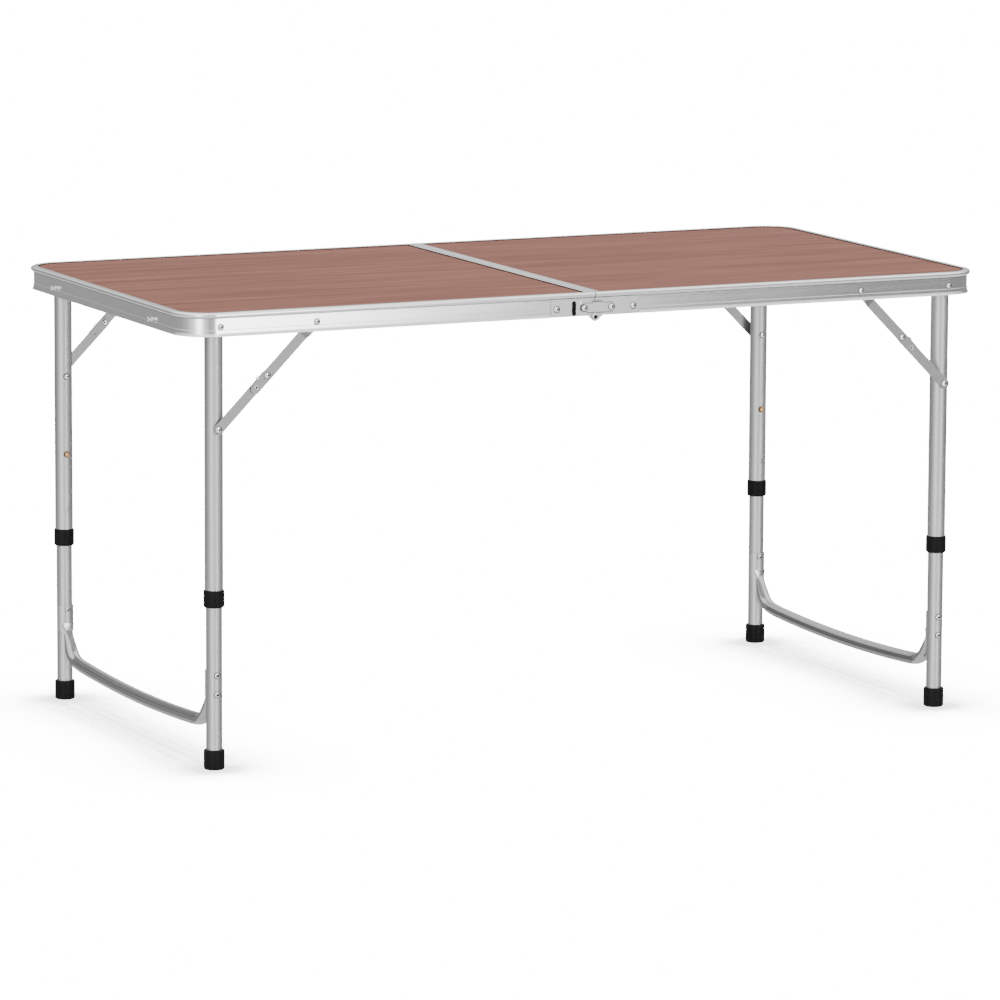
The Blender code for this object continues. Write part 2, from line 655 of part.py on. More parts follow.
def make_lower_brace(corner, materials):
    side = CORNERS[corner]
    origin = (BRACE_FOOT.x, LOWER_LINK_Y, BRACE_FOOT.z)
    mesh = strip_mesh(ELBOW, BRACE_LINK, lambda _: LOWER_LINK_Y)
    strip = solid("brace_lower_" + corner, mesh, materials["strip"], side, origin)
    face = LOWER_LINK_Y + BRACE_THICKNESS
    pin = bmesh.new()
    profile = [
        (3.4 * MM, 0.2575), (4.0 * MM, 0.2580), (4.0 * MM, 0.2589), (RIVET_RADIUS, 0.2589),
        (RIVET_RADIUS, 0.2845), (4.5 * MM, 0.2845), (4.5 * MM, face + 0.4 * MM),
        (3.8 * MM, face + 1.1 * MM), (1.8 * MM, face + 1.4 * MM),
    ]
    turned(pin, profile, "Y", (BRACE_FOOT.x, BRACE_FOOT.z))
    join(strip, pin, side)
    tail = bmesh.new()
    profile = [
        (2.6 * MM, LOWER_LINK_Y - 1.3 * MM), (3.4 * MM, LOWER_LINK_Y - 0.9 * MM),
        (3.4 * MM, LOWER_LINK_Y + 0.9 * MM),
    ]
    turned(tail, profile, "Y", (ELBOW.x, ELBOW.z))
    join(strip, tail, side)
    return strip


# ---------------------------------------------------------------- ends

def make_catch_stud(face, material):
    """A mushroom stud on the left end, for the hasp of the other half when the case is shut."""
    edge = HALF_LENGTH
    profile = [
        (3.2 * MM, edge - 6.3 * MM), (3.6 * MM, edge - 6.0 * MM), (3.6 * MM, edge - 5.1 * MM),
        (2.1 * MM, edge - 5.1 * MM), (2.1 * MM, edge - 2.2 * MM), (4.8 * MM, edge - 2.2 * MM),
        (4.6 * MM, edge - 1.6 * MM), (2.6 * MM, edge - 1.1 * MM), (2.6 * MM, edge + 2.4 * MM),
        (4.0 * MM, edge + 2.8 * MM), (4.0 * MM, edge + 3.7 * MM), (2.4 * MM, edge + END_REACH),
    ]
    mesh = turned(bmesh.new(), profile, "X", (LATCH_Y, down(STUD_DROP)))
    return solid("catch_stud_" + face, mesh, material, (-1, FACES[face]))


def make_hasp(face, materials):
    """A base with two ears on the right end, and the swing hasp that turns between them."""
    side = (1, FACES[face])
    edge = HALF_LENGTH
    axis_z = down(HASP_AXIS_DROP)
    plate = bmesh.new()
    plate_x = (edge - 2.7 * MM, edge - 1.4 * MM)
    plate_y = (LATCH_Y - 13 * MM, LATCH_Y + 13 * MM)
    box(plate, plate_x, plate_y, (down(22.8 * MM), down(11.0 * MM)))
    base = solid("hasp_base_" + face, plate, materials["steel"], side)
    for near in (-11.0, 8.3):
        ear = bmesh.new()
        y = LATCH_Y + near * MM
        ear_z = (axis_z - 3.0 * MM, axis_z + 2.4 * MM)
        box(ear, (edge - 2.0 * MM, edge + 2.8 * MM), (y, y + 2.7 * MM), ear_z)
        join(base, ear, side)
    bore = bmesh.new()
    centre_x = edge + 0.4 * MM
    profile = [(1.7 * MM, LATCH_Y - 14 * MM), (1.7 * MM, LATCH_Y + 14 * MM)]
    turned(bore, profile, "Y", (centre_x, axis_z))
    cut(base, bore, side)

    tip_z = down(48.5 * MM)
    radius = 8.0 * MM
    outline = arc((LATCH_Y, tip_z), radius, 180, 360, 10)
    outline += [(LATCH_Y + radius, axis_z), (LATCH_Y - radius, axis_z)]
    strap = prism(bmesh.new(), outline, "X", edge, edge + 1.3 * MM)
    hasp = solid("hasp_" + face, strap, materials["steel"], side, (centre_x, LATCH_Y, axis_z))
    profile = [(1.3 * MM, LATCH_Y - 11.8 * MM), (1.3 * MM, LATCH_Y + 11.8 * MM)]
    join(hasp, turned(bmesh.new(), profile, "Y", (centre_x, axis_z)), side)
    keyhole = bmesh.new()
    profile = [(4.3 * MM, edge - 2 * MM), (4.3 * MM, edge + 4 * MM)]
    turned(keyhole, profile, "X", (LATCH_Y, tip_z))
    cut(hasp, keyhole, side)


def make_handle(materials):
    """A bail handle that hangs on the right end between two brackets."""
    edge = HALF_LENGTH
    axis_z = down(HANDLE_AXIS_DROP)
    centre_x = edge + HANDLE_AXIS_OUT
    for face, sign in FACES.items():
        block = bmesh.new()
        span = (HANDLE_BRACKET_Y - 6 * MM, HANDLE_BRACKET_Y + 8 * MM)
        height = (axis_z - 3.8 * MM, axis_z + 7.0 * MM)
        box(block, (edge - 2.7 * MM, edge + END_REACH), span, height)
        bracket = solid("handle_bracket_" + face, block, materials["black"], (1, sign))
        bore = bmesh.new()
        profile = [(2.4 * MM, HANDLE_BRACKET_Y - 9 * MM), (2.4 * MM, HANDLE_BRACKET_Y + 6 * MM)]
        turned(bore, profile, "Y", (centre_x, axis_z))
        cut(bracket, bore, (1, sign))
    arm_y = HANDLE_BRACKET_Y - 10.5 * MM
    grip_z = down(58 * MM)
    bend = 10 * MM
    path = [(arm_y, axis_z + 2.5 * MM), (arm_y, grip_z + bend)]
    path += arc((arm_y - bend, grip_z + bend), bend, 0, -90, 5)[1:]
    path += [(-y, z) for y, z in reversed(path)]
    rings = []
    for i, (y, z) in enumerate(path):
        before = path[max(i - 1, 0)]
        after = path[min(i + 1, len(path) - 1)]
        along = Vector((0, after[0] - before[0], after[1] - before[1])).normalized()
        across = Vector((0, -along.z, along.y))
        centre = Vector((centre_x, y, z))
        ring = []
        for u, v in circle(1.0, 8, 22.5):
            ring.append(centre + Vector((u * 2.3 * MM, 0, 0)) + across * (v * 4.2 * MM))
        rings.append(ring)
    origin = (centre_x, 0, axis_z)
    handle = solid("carry_handle", loft(bmesh.new(), rings), materials["black"], (1, 1), origin)
    for sign in FACES.values():
        stub = bmesh.new()
        profile = [(2.0 * MM, arm_y - 2 * MM), (2.0 * MM, HANDLE_BRACKET_Y + 5 * MM)]
        turned(stub, profile, "Y", (centre_x, axis_z))
        join(handle, stub, (1, sign))


# ---------------------------------------------------------------- assembly

def main():
    clear_scene()
    materials = {
        "rim": make_material("satin_aluminium", (0.66, 0.67, 0.68), 0.32, 1.0),
        "tube": make_material("tube_aluminium", (0.62, 0.63, 0.64), 0.28, 1.0),
        "strip": make_material("brace_steel", (0.50, 0.50, 0.51), 0.35, 1.0),
        "steel": make_material("rivet_steel", (0.60, 0.60, 0.61), 0.25, 1.0),
        "wood": make_material("wood_laminate", (0.38, 0.22, 0.18), 0.45, 0.0),
        "black": make_material("black_plastic", (0.012, 0.012, 0.012), 0.5, 0.0),
        "brass": make_material("button_brass", (0.48, 0.27, 0.14), 0.35, 1.0),
    }
    for half in HALVES:
        make_rim(half, materials["rim"])
        make_centre_rail(half, materials["rim"])
        make_panel(half, materials["wood"])
        make_crossbar(half, materials["tube"])
        for face in FACES:
            make_hinge_plate(half, face, materials["steel"])
    for face in FACES:
        make_hinge_pin(face, materials["steel"])
        make_hook(face, materials["steel"])
        make_catch_stud(face, materials["steel"])
        make_hasp(face, materials)
    make_handle(materials)
    for corner in CORNERS:
        make_leg(corner, materials)
        make_upper_brace(corner, materials)
        make_lower_brace(corner, materials)


main()
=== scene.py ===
"""Looks for the folding picnic table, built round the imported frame.

Pieces are modelled in the right-back quarter (X and Y both outward) and mirrored to their corner.
"""
import math

import bmesh
import bpy
from mathutils import Matrix, Vector


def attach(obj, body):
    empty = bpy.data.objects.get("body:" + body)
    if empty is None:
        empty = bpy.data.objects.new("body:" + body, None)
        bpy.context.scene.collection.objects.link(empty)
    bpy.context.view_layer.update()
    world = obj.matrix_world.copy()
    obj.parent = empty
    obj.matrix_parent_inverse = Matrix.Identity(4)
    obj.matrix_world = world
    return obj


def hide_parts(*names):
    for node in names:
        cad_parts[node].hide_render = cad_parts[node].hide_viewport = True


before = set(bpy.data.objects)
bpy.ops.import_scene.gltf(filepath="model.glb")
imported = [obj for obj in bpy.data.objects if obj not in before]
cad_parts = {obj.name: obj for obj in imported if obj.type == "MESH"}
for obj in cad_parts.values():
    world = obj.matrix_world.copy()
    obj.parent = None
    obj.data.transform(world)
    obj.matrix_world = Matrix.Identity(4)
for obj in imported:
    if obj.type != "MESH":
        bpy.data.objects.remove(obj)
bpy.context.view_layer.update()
MM = 0.001

TOP_Z = 0.618
HALF_LENGTH = 0.600
HALF_WIDTH = 0.300
CORNER_RADIUS = 0.050
PIVOT_Z = 0.599
LEG_X = 0.5487
LEG_Y = 0.2717
OUTER_RADIUS = 12.5 * MM
INNER_RADIUS = 11.0 * MM
BRACE_ARM = 0.1385
BRACE_LINK = BRACE_ARM / math.sqrt(2)
HINGE_Z = TOP_Z - 21.0 * MM
FOLD_Z = TOP_Z - 33.5 * MM
STUD_X = -16.7 * MM
HOOK_X = 24.2 * MM
BUTTON_Z = 0.350
SPARE_HOLE_Z = 0.273
LATCH_Y = 0.1765

CORNERS = {"fl": (-1, -1), "fr": (1, -1), "bl": (-1, 1), "br": (1, 1)}
HALVES = {"left": -1, "right": 1}
FACES = {"front": -1, "back": 1}
SIDE_OF = {"fl": "left", "bl": "left", "fr": "right", "br": "right"}


# ---------------------------------------------------------------- materials

def nodes_of(name, colour, roughness, metallic):
    material = bpy.data.materials.new(name)
    material.use_nodes = True
    tree = material.node_tree
    shader = tree.nodes["Principled BSDF"]
    shader.inputs["Base Color"].default_value = (*colour, 1.0)
    shader.inputs["Roughness"].default_value = roughness
    shader.inputs["Metallic"].default_value = metallic
    return material, tree, shader


def noise_of(tree, stretch, scale, detail, distortion=0.0):
    """Noise in the piece's own space, drawn out by the three stretch factors."""
    place = tree.nodes.new("ShaderNodeTexCoord")
    mapping = tree.nodes.new("ShaderNodeMapping")
    mapping.inputs["Scale"].default_value = stretch
    noise = tree.nodes.new("ShaderNodeTexNoise")
    noise.inputs["Scale"].default_value = scale
    noise.inputs["Detail"].default_value = detail
    noise.inputs["Distortion"].default_value = distortion
    tree.links.new(place.outputs["Object"], mapping.inputs["Vector"])
    tree.links.new(mapping.outputs["Vector"], noise.inputs["Vector"])
    return noise


def ramp_of(tree, value, stops):
    """A colour ramp through the stops, each a position and a colour."""
    ramp = tree.nodes.new("ShaderNodeValToRGB")
    while len(ramp.color_ramp.elements) < len(stops):
        ramp.color_ramp.elements.new(0.5)
    for element, (at, colour) in zip(ramp.color_ramp.elements, stops):
        element.position = at
        element.color = (*colour, 1.0)
    tree.links.new(value, ramp.inputs["Fac"])
    return ramp


def vary(tree, shader, noise, socket, low, high):
    """Let a socket drift between two values with the noise."""
    spread = tree.nodes.new("ShaderNodeMapRange")
    spread.inputs["From Min"].default_value = 0.25
    spread.inputs["From Max"].default_value = 0.75
    spread.inputs["To Min"].default_value = low
    spread.inputs["To Max"].default_value = high
    tree.links.new(noise.outputs["Fac"], spread.inputs["Value"])
    tree.links.new(spread.outputs["Result"], shader.inputs[socket])


def bump_of(tree, shader, noise, strength, distance):
    bump = tree.nodes.new("ShaderNodeBump")
    bump.inputs["Strength"].default_value = strength
    bump.inputs["Distance"].default_value = distance
    tree.links.new(noise.outputs["Fac"], bump.inputs["Height"])
    tree.links.new(bump.outputs["Normal"], shader.inputs["Normal"])


def metal(name, shades, rough, stretch, scale, bump=0.04):
    """A metal whose tone and gloss drift a little along its drawing direction."""
    material, tree, shader = nodes_of(name, shades[0], rough[0], 1.0)
    noise = noise_of(tree, stretch, scale, 4.0)
    ramp = ramp_of(tree, noise.outputs["Fac"], [(0.3, shades[0]), (0.7, shades[1])])
    tree.links.new(ramp.outputs["Color"], shader.inputs["Base Color"])
    vary(tree, shader, noise, "Roughness", *rough)
    fine = noise_of(tree, stretch, scale * 5.0, 3.0)
    bump_of(tree, shader, fine, bump, 0.0002)
    return material


def wood_laminate():
    material, tree, shader = nodes_of("wood_laminate", (0.30, 0.15, 0.11), 0.42, 0.0)
    shader.inputs["Specular IOR Level"].default_value = 0.015
    broad = noise_of(tree, (1.5, 32.0, 32.0), 2.2, 6.0, 0.5)
    base = ramp_of(tree, broad.outputs["Fac"], [
        (0.30, (0.185, 0.071, 0.051)), (0.5, (0.235, 0.096, 0.070)), (0.70, (0.285, 0.123, 0.092)),
    ])
    fine = noise_of(tree, (5.0, 190.0, 190.0), 1.6, 6.0, 0.2)
    streak = ramp_of(tree, fine.outputs["Fac"], [(0.36, (0.62, 0.58, 0.56)), (0.60, (1.0, 1.0, 1.0))])
    mix = tree.nodes.new("ShaderNodeMix")
    mix.data_type = "RGBA"
    mix.blend_type = "MULTIPLY"
    mix.inputs["Factor"].default_value = 0.75
    tree.links.new(base.outputs["Color"], mix.inputs["A"])
    tree.links.new(streak.outputs["Color"], mix.inputs["B"])
    tree.links.new(mix.outputs["Result"], shader.inputs["Base Color"])
    vary(tree, shader, fine, "Roughness", 0.36, 0.50)
    bump_of(tree, shader, fine, 0.05, 0.0001)
    return material


def plain(name, shades, rough, scale, bump, specular):
    """A plastic or board whose tone, gloss and surface vary a little."""
    material, tree, shader = nodes_of(name, shades[0], rough[0], 0.0)
    shader.inputs["Specular IOR Level"].default_value = specular
    noise = noise_of(tree, (1, 1, 1), scale, 3.0)
    ramp = ramp_of(tree, noise.outputs["Fac"], [(0.3, shades[0]), (0.7, shades[1])])
    tree.links.new(ramp.outputs["Color"], shader.inputs["Base Color"])
    vary(tree, shader, noise, "Roughness", *rough)
    bump_of(tree, shader, noise, bump, 0.0003)
    return material


RIM = metal("rim_aluminium", [(0.84, 0.84, 0.845), (0.88, 0.88, 0.885)], (0.10, 0.14), (1, 1, 30), 6.0)
RAIL = metal("rail_aluminium", [(0.84, 0.85, 0.855), (0.89, 0.895, 0.90)], (0.24, 0.32), (30, 1, 1), 6.0)
TUBE = metal("tube_aluminium", [(0.50, 0.50, 0.503), (0.54, 0.54, 0.543)], (0.42, 0.50), (30, 30, 1), 5.0)
BAR = metal("bar_aluminium", [(0.42, 0.42, 0.423), (0.48, 0.48, 0.483)], (0.16, 0.22), (30, 1, 30), 5.0)
# Painted shade and light: darker and lighter copies of the bar metal for the bands on the pressed sides
BAR_DISH_SHADE = metal(
    "bar_dish_painted_shade", [(0.13, 0.13, 0.132), (0.155, 0.155, 0.157)], (0.34, 0.42), (30, 1, 30), 5.0)
BAR_RIB_LIGHT = metal("bar_rib_painted_light", [(0.40, 0.40, 0.403), (0.45, 0.45, 0.453)], (0.30, 0.38), (30, 1, 30), 5.0)
BAR_FLANK_SHADE = metal(
    "bar_flank_painted_shade", [(0.25, 0.25, 0.252), (0.29, 0.29, 0.292)], (0.34, 0.42), (30, 1, 30), 5.0)
STRIP = metal("brace_steel", [(0.235, 0.235, 0.238), (0.29, 0.29, 0.293)], (0.38, 0.46), (8, 8, 8), 9.0)
PLATE = metal("plate_steel", [(0.42, 0.42, 0.424), (0.50, 0.50, 0.504)], (0.34, 0.42), (6, 6, 6), 9.0)
RIVET = metal("rivet_steel", [(0.78, 0.78, 0.785), (0.86, 0.86, 0.865)], (0.12, 0.18), (6, 6, 6), 40.0, 0.02)
BRASS = metal("button_brass", [(0.62, 0.33, 0.15), (0.72, 0.42, 0.20)], (0.22, 0.32), (6, 6, 6), 60.0, 0.02)
BLACK = plain(
    "black_plastic", [(0.005, 0.005, 0.005), (0.008, 0.008, 0.008)], (0.40, 0.50), 900.0, 0.05, 0.08)
BOARD = plain("board_back", [(0.56, 0.56, 0.555), (0.62, 0.62, 0.615)], (0.6, 0.7), 500.0, 0.1, 0.3)
# Painted shade: a near-black that stands for the shade in channels, gaps, slots and round rivet heads
SHADE_BLACK = plain("painted_shade", [(0.006, 0.006, 0.006), (0.010, 0.010, 0.010)], (0.7, 0.8), 300.0, 0.05, 0.05)
# Painted shade: a darker copy of the rim metal for the groove under the bead
GROOVE = metal("groove_shadow", [(0.20, 0.20, 0.20), (0.26, 0.26, 0.26)], (0.4, 0.5), (1, 1, 30), 6.0)
WOOD = wood_laminate()


# ---------------------------------------------------------------- mesh helpers

def circle(radius, sides, start=0.0, sweep=360.0):
    steps = sides if abs(sweep) == 360.0 else sides - 1
    angles = [math.radians(start + sweep * i / steps) for i in range(sides)]
    return [(radius * math.cos(a), radius * math.sin(a)) for a in angles]


def arc(centre, radius, start, end, steps):
    return [(centre[0] + x, centre[1] + y) for x, y in circle(radius, steps + 1, start, end - start)]


def on_axis(axis, u, v, along):
    if axis == "X":
        return Vector((along, u, v))
    if axis == "Y":
        return Vector((u, along, v))
    return Vector((u, v, along))


def loft(mesh, rings, material=0, closed=False, capped=True, strips=None):
    """Skin a row of equal rings. strips gives some faces of each ring another material."""
    rows = [[mesh.verts.new(point) for point in ring] for ring in rings]
    count = len(rings[0])
    pairs = list(zip(rows, rows[1:]))
    if closed:
        pairs.append((rows[-1], rows[0]))
    for low, high in pairs:
        for i in range(count):
            j = (i + 1) % count
            face = mesh.faces.new((low[i], low[j], high[j], high[i]))
            face.material_index = strips.get(i, material) if strips else material
    if not closed and capped:
        mesh.faces.new(rows[0]).material_index = material
        mesh.faces.new(list(reversed(rows[-1]))).material_index = material
    return mesh


def prism(mesh, outline, axis, low, high, material=0):
    return loft(mesh, [[on_axis(axis, u, v, h) for u, v in outline] for h in (low, high)], material)


def box(mesh, x, y, z, material=0):
    outline = [(x[0], y[0]), (x[1], y[0]), (x[1], y[1]), (x[0], y[1])]
    return prism(mesh, outline, "Z", z[0], z[1], material)


def turned(mesh, profile, axis, centre, sides=24, material=0):
    rings = []
    for radius, along in profile:
        points = circle(radius, sides)
        rings.append([on_axis(axis, centre[0] + u, centre[1] + v, along) for u, v in points])
    return loft(mesh, rings, material)


def dome(radius, base, height, steps=5, tip=0.12):
    """A domed head's profile from its rim to its tip; height may be negative."""
    turns = [math.radians(90.0 * i / steps) for i in range(steps + 1)]
    return [(radius * max(tip, math.cos(t)), base + height * math.sin(t)) for t in turns]


def painted_rivet_shade(mesh, axis, centre, radius, base, tip, material, share=0.28):
    """Painted shade: a dark ring round a rivet's head for its shadow line, and a painted dark reflection
    spot at its tip.
    """
    out = math.copysign(1.0, tip - base)
    rim = radius + 0.75 * MM
    turned(mesh, [(rim, base - out * 0.1 * MM), (rim, base + out * 0.06 * MM)], axis, centre, 28, material)
    dot = share * radius
    turned(mesh, [(dot, tip - out * 0.3 * MM), (dot, tip + out * 0.02 * MM)], axis, centre, 16, material)


def solid_from(mesh, side):
    matrix = Matrix.Diagonal((side[0], side[1], 1, 1))
    bmesh.ops.transform(mesh, matrix=matrix, verts=mesh.verts)
    bmesh.ops.recalc_face_normals(mesh, faces=mesh.faces)
    data = bpy.data.meshes.new("shape")
    mesh.to_mesh(data)
    mesh.free()
    item = bpy.data.objects.new("shape", data)
    bpy.context.scene.collection.objects.link(item)
    return item


def carve(item, cutters, side):
    """Cut solids out of a piece and keep the result as its mesh."""
    tools = []
    for mesh in cutters:
        tool = solid_from(mesh, side)
        modifier = item.modifiers.new("cut", "BOOLEAN")
        modifier.operation = "DIFFERENCE"
        modifier.solver = "EXACT"
        modifier.object = tool
        tools.append(tool)
    bpy.context.view_layer.update()
    graph = bpy.context.evaluated_depsgraph_get()
    data = bpy.data.meshes.new_from_object(item.evaluated_get(graph))
    item.modifiers.clear()
    item.data = data
    for tool in tools:
        bpy.data.objects.remove(tool, do_unlink=True)


def piece(name, mesh, materials, body, node, side=(1, 1), cutters=(), bevel=0.0, angle=35.0):
    """Turn a mesh into a finished piece that stands for a CAD node and rides on its body."""
    item = solid_from(mesh, side)
    if cutters:
        carve(item, cutters, side)
    item.name = name
    item.data.name = name
    kept = [face.material_index for face in item.data.polygons]
    item.data.materials.clear()
    for material in materials:
        item.data.materials.append(material)
    item.data.polygons.foreach_set("material_index", kept)
    item.data.shade_smooth()
    item.data.set_sharp_from_angle(angle=math.radians(angle))
    if bevel:
        modifier = item.modifiers.new("edge", "BEVEL")
        modifier.width = bevel
        modifier.segments = 2
        modifier.limit_method = "ANGLE"
        modifier.angle_limit = math.radians(40)
        modifier.harden_normals = True
    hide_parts(node)
    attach(item, body)
    return item


def out_y(inset):
    return HALF_WIDTH - inset * MM


def down(drop):
    return TOP_Z - drop * MM


# ---------------------------------------------------------------- top

# Distance inward from the outline (negative) and height from the top, in mm
RIM_OUTSIDE = [
    (-8.8, -0.7), (-9.0, -0.5), (-8.9, -0.22), (-8.5, -0.05), (-7.6, 0.0), (-2.8, 0.0), (-1.6, -0.1),
    (-0.6, -0.42), (0.2, -0.95), (0.8, -1.7), (1.12, -2.55), (1.2, -3.4), (1.0, -4.4), (0.6, -5.3),
    (0.0, -6.05), (-0.8, -6.6), (-1.7, -6.95), (-2.7, -7.1), (-3.6, -7.15), (-3.6, -7.75), (-3.05, -7.9),
    (-3.0, -8.1), (-3.0, -22.6), (-3.35, -22.75), (-3.35, -23.25), (-2.75, -23.4), (-2.55, -23.7),
    (-2.5, -27.2), (-2.9, -27.35), (-2.9, -27.8), (-2.4, -27.95), (-2.2, -28.6), (-1.75, -29.6),
    (-1.3, -30.7), (-0.92, -31.6), (-1.0, -31.85), (-1.4, -32.0),
]
# The faces of the groove under the bead, painted darker as shade
GROOVES = (17, 18, 19)
RIM_INSIDE = [(-3.6, -32.0), (-4.2, -31.1), (-4.8, -29.8), (-4.8, -6.3), (-9.0, -6.3), (-9.0, -4.8)]
RIM_CHANNEL = [(-6.0, -4.8), (-6.0, -0.7)]
CORNER_STEPS = 28
SEAT_END = 66.9 * MM
NOTCH_END = 9.0 * MM


def seat_section(section):
    """The section with a flat recess for the hinge plate."""
    return [(min(n, -2.95), z) if z < -7.2 else (n, z) for n, z in section]


def notch_section(section):
    """The recess with the lip cut off above the knuckle."""
    lowest = -29.0
    return [(n, z if z > lowest else lowest - 0.001 * i) for i, (n, z) in enumerate(seat_section(section))]


def rim_stations():
    """Centre point, outward angle and section, from the front seam round to the back seam."""
    full = RIM_OUTSIDE + RIM_INSIDE + RIM_CHANNEL
    seat = seat_section(full)
    notch = notch_section(full)
    step = 0.05 * MM
    near = [(0.6 * MM, notch), (NOTCH_END, notch), (NOTCH_END + step, seat), (SEAT_END, seat),
            (SEAT_END + step, full)]
    straight = HALF_LENGTH - CORNER_RADIUS
    side_y = HALF_WIDTH - CORNER_RADIUS
    stations = [((x, -HALF_WIDTH), -90.0, section) for x, section in near]
    for centre_y, start in ((-side_y, -90.0), (side_y, 0.0)):
        for i in range(CORNER_STEPS + 1):
            angle = start + 90.0 * i / CORNER_STEPS
            turn = math.radians(angle)
            x = straight + CORNER_RADIUS * math.cos(turn)
            y = centre_y + CORNER_RADIUS * math.sin(turn)
            stations.append(((x, y), angle, full))
    stations += [((x, HALF_WIDTH), 90.0, section) for x, section in reversed(near)]
    return stations


def make_rim(half):
    mesh = bmesh.new()
    rings = []
    for (x, y), angle, section in rim_stations():
        turn = math.radians(angle)
        outward = Vector((math.cos(turn), math.sin(turn), 0))
        base = Vector((x, y, TOP_Z))
        rings.append([base + outward * (n * MM) + Vector((0, 0, z * MM)) for n, z in section])
    outside = len(RIM_OUTSIDE)
    inside = outside + len(RIM_INSIDE)
    # Painted shade: the channel inside the rim is black and the groove under the bead takes a darker copy of
    # the rim metal
    dark = {i: 1 for i in range(inside - 1, inside + 2)}
    dark.update({i: 2 for i in GROOVES})
    loft(mesh, rings, strips=dark)
    if half == "left":
        # Painted shadow: a dark sheet for the shaded line where the two halves meet
        for sign in (-1, 1):
            bead = sorted((sign * out_y(8.5), sign * out_y(-0.75)))
            wall = sorted((sign * out_y(4.6), sign * out_y(3.3)))
            box(mesh, (-0.5 * MM, 0.5 * MM), bead, (down(6.2), down(0.3)), 1)
            box(mesh, (-0.5 * MM, 0.5 * MM), wall, (down(28.6), down(6.3)), 1)
    piece("rim_look_" + half, mesh, [RIM, SHADE_BLACK, GROOVE], half + "_half", "rim_" + half,
          (HALVES[half], 1), angle=28.0)


def make_centre_rail(half):
    section = [
        (10.4, -0.65), (10.5, -0.45), (10.35, -0.2), (10.0, -0.03), (9.6, 0.0), (1.2, 0.0), (0.7, -0.1),
        (0.4, -0.35), (0.3, -0.8), (0.3, -31.5), (2.1, -31.5), (2.1, -6.3), (10.5, -6.3), (10.5, -4.8),
        (7.5, -4.8), (7.5, -0.65),
    ]
    outline = [(x * MM, down(-z)) for x, z in section]
    end_y = out_y(9.15)
    rings = [[on_axis("Y", u, v, y) for u, v in outline] for y in (-end_y, end_y)]
    # Painted shade: the channel faces under the rail's flange are black
    mesh = loft(bmesh.new(), rings, strips={13: 1, 14: 1})
    piece("centre_rail_look_" + half, mesh, [RAIL, SHADE_BLACK], half + "_half", "centre_rail_" + half,
          (HALVES[half], 1), angle=28.0)


def make_panel(half):
    edge = 6.3 * MM
    reach_x = HALF_LENGTH - edge
    reach_y = HALF_WIDTH - edge
    radius = CORNER_RADIUS - edge
    outline = [(7.8 * MM, -reach_y)]
    outline += arc((reach_x - radius, radius - reach_y), radius, -90, 0, 16)
    outline += arc((reach_x - radius, reach_y - radius), radius, 0, 90, 16)
    outline.append((7.8 * MM, reach_y))
    mesh = prism(bmesh.new(), outline, "Z", down(4.5), down(1.5), 1)
    for face in mesh.faces:
        if face.calc_center_median().z > down(1.6):
            face.material_index = 0
    # Painted shadow: a dark band on the board along the lip of the rim and the rail, for the shade in the
    # gap
    band = [8.9, 10.5, 10.5, 8.9]
    heights = [1.5, 1.5, 1.42, 1.42]
    rings = []
    for inset, height in zip(band, heights):
        reach = HALF_LENGTH - inset * MM
        depth = HALF_WIDTH - inset * MM
        bend = CORNER_RADIUS - inset * MM
        near_x = (10.3 if inset < 10 else 12.2) * MM
        ring = [(near_x, -depth)]
        ring += arc((reach - bend, bend - depth), bend, -90, 0, 16)
        ring += arc((reach - bend, depth - bend), bend, 0, 90, 16)
        ring.append((near_x, depth))
        rings.append([Vector((u, v, down(height))) for u, v in ring])
    loft(mesh, rings, 2, closed=True)
    piece("panel_look_" + half, mesh, [WOOD, BOARD, SHADE_BLACK], half + "_half", "panel_" + half,
          (HALVES[half], 1))


# ---------------------------------------------------------------- centre hinge

def slot_outline(half_width):
    x = -31.4 * MM
    top = arc((x, down(13.8)), half_width, 0, 180, 10)
    bottom = arc((x, down(28.0)), half_width, 180, 360, 10)
    return top + bottom


def plate_rivet(mesh, x, base, height, radius=4.2):
    """A domed rivet on a hinge plate, with its tail inside the rim."""
    profile = [(3.2 * MM, out_y(6.3)), (3.6 * MM, out_y(6.0)), (3.6 * MM, out_y(5.1)),
               (2.0 * MM, out_y(5.1)), (2.0 * MM, out_y(base))]
    profile += dome(radius * MM, out_y(base), height * MM, 7)
    turned(mesh, profile, "Y", (x, HINGE_Z), 28, 1)
    # Painted shade round the rivet's head and on its tip
    painted_rivet_shade(mesh, "Y", (x, HINGE_Z), radius * MM, out_y(min(base, 1.45)), out_y(base) + height * MM, 2)


def lobe(start, end, steps, radius=6.0):
    return arc((0.0, FOLD_Z), radius * MM, start, end, steps)


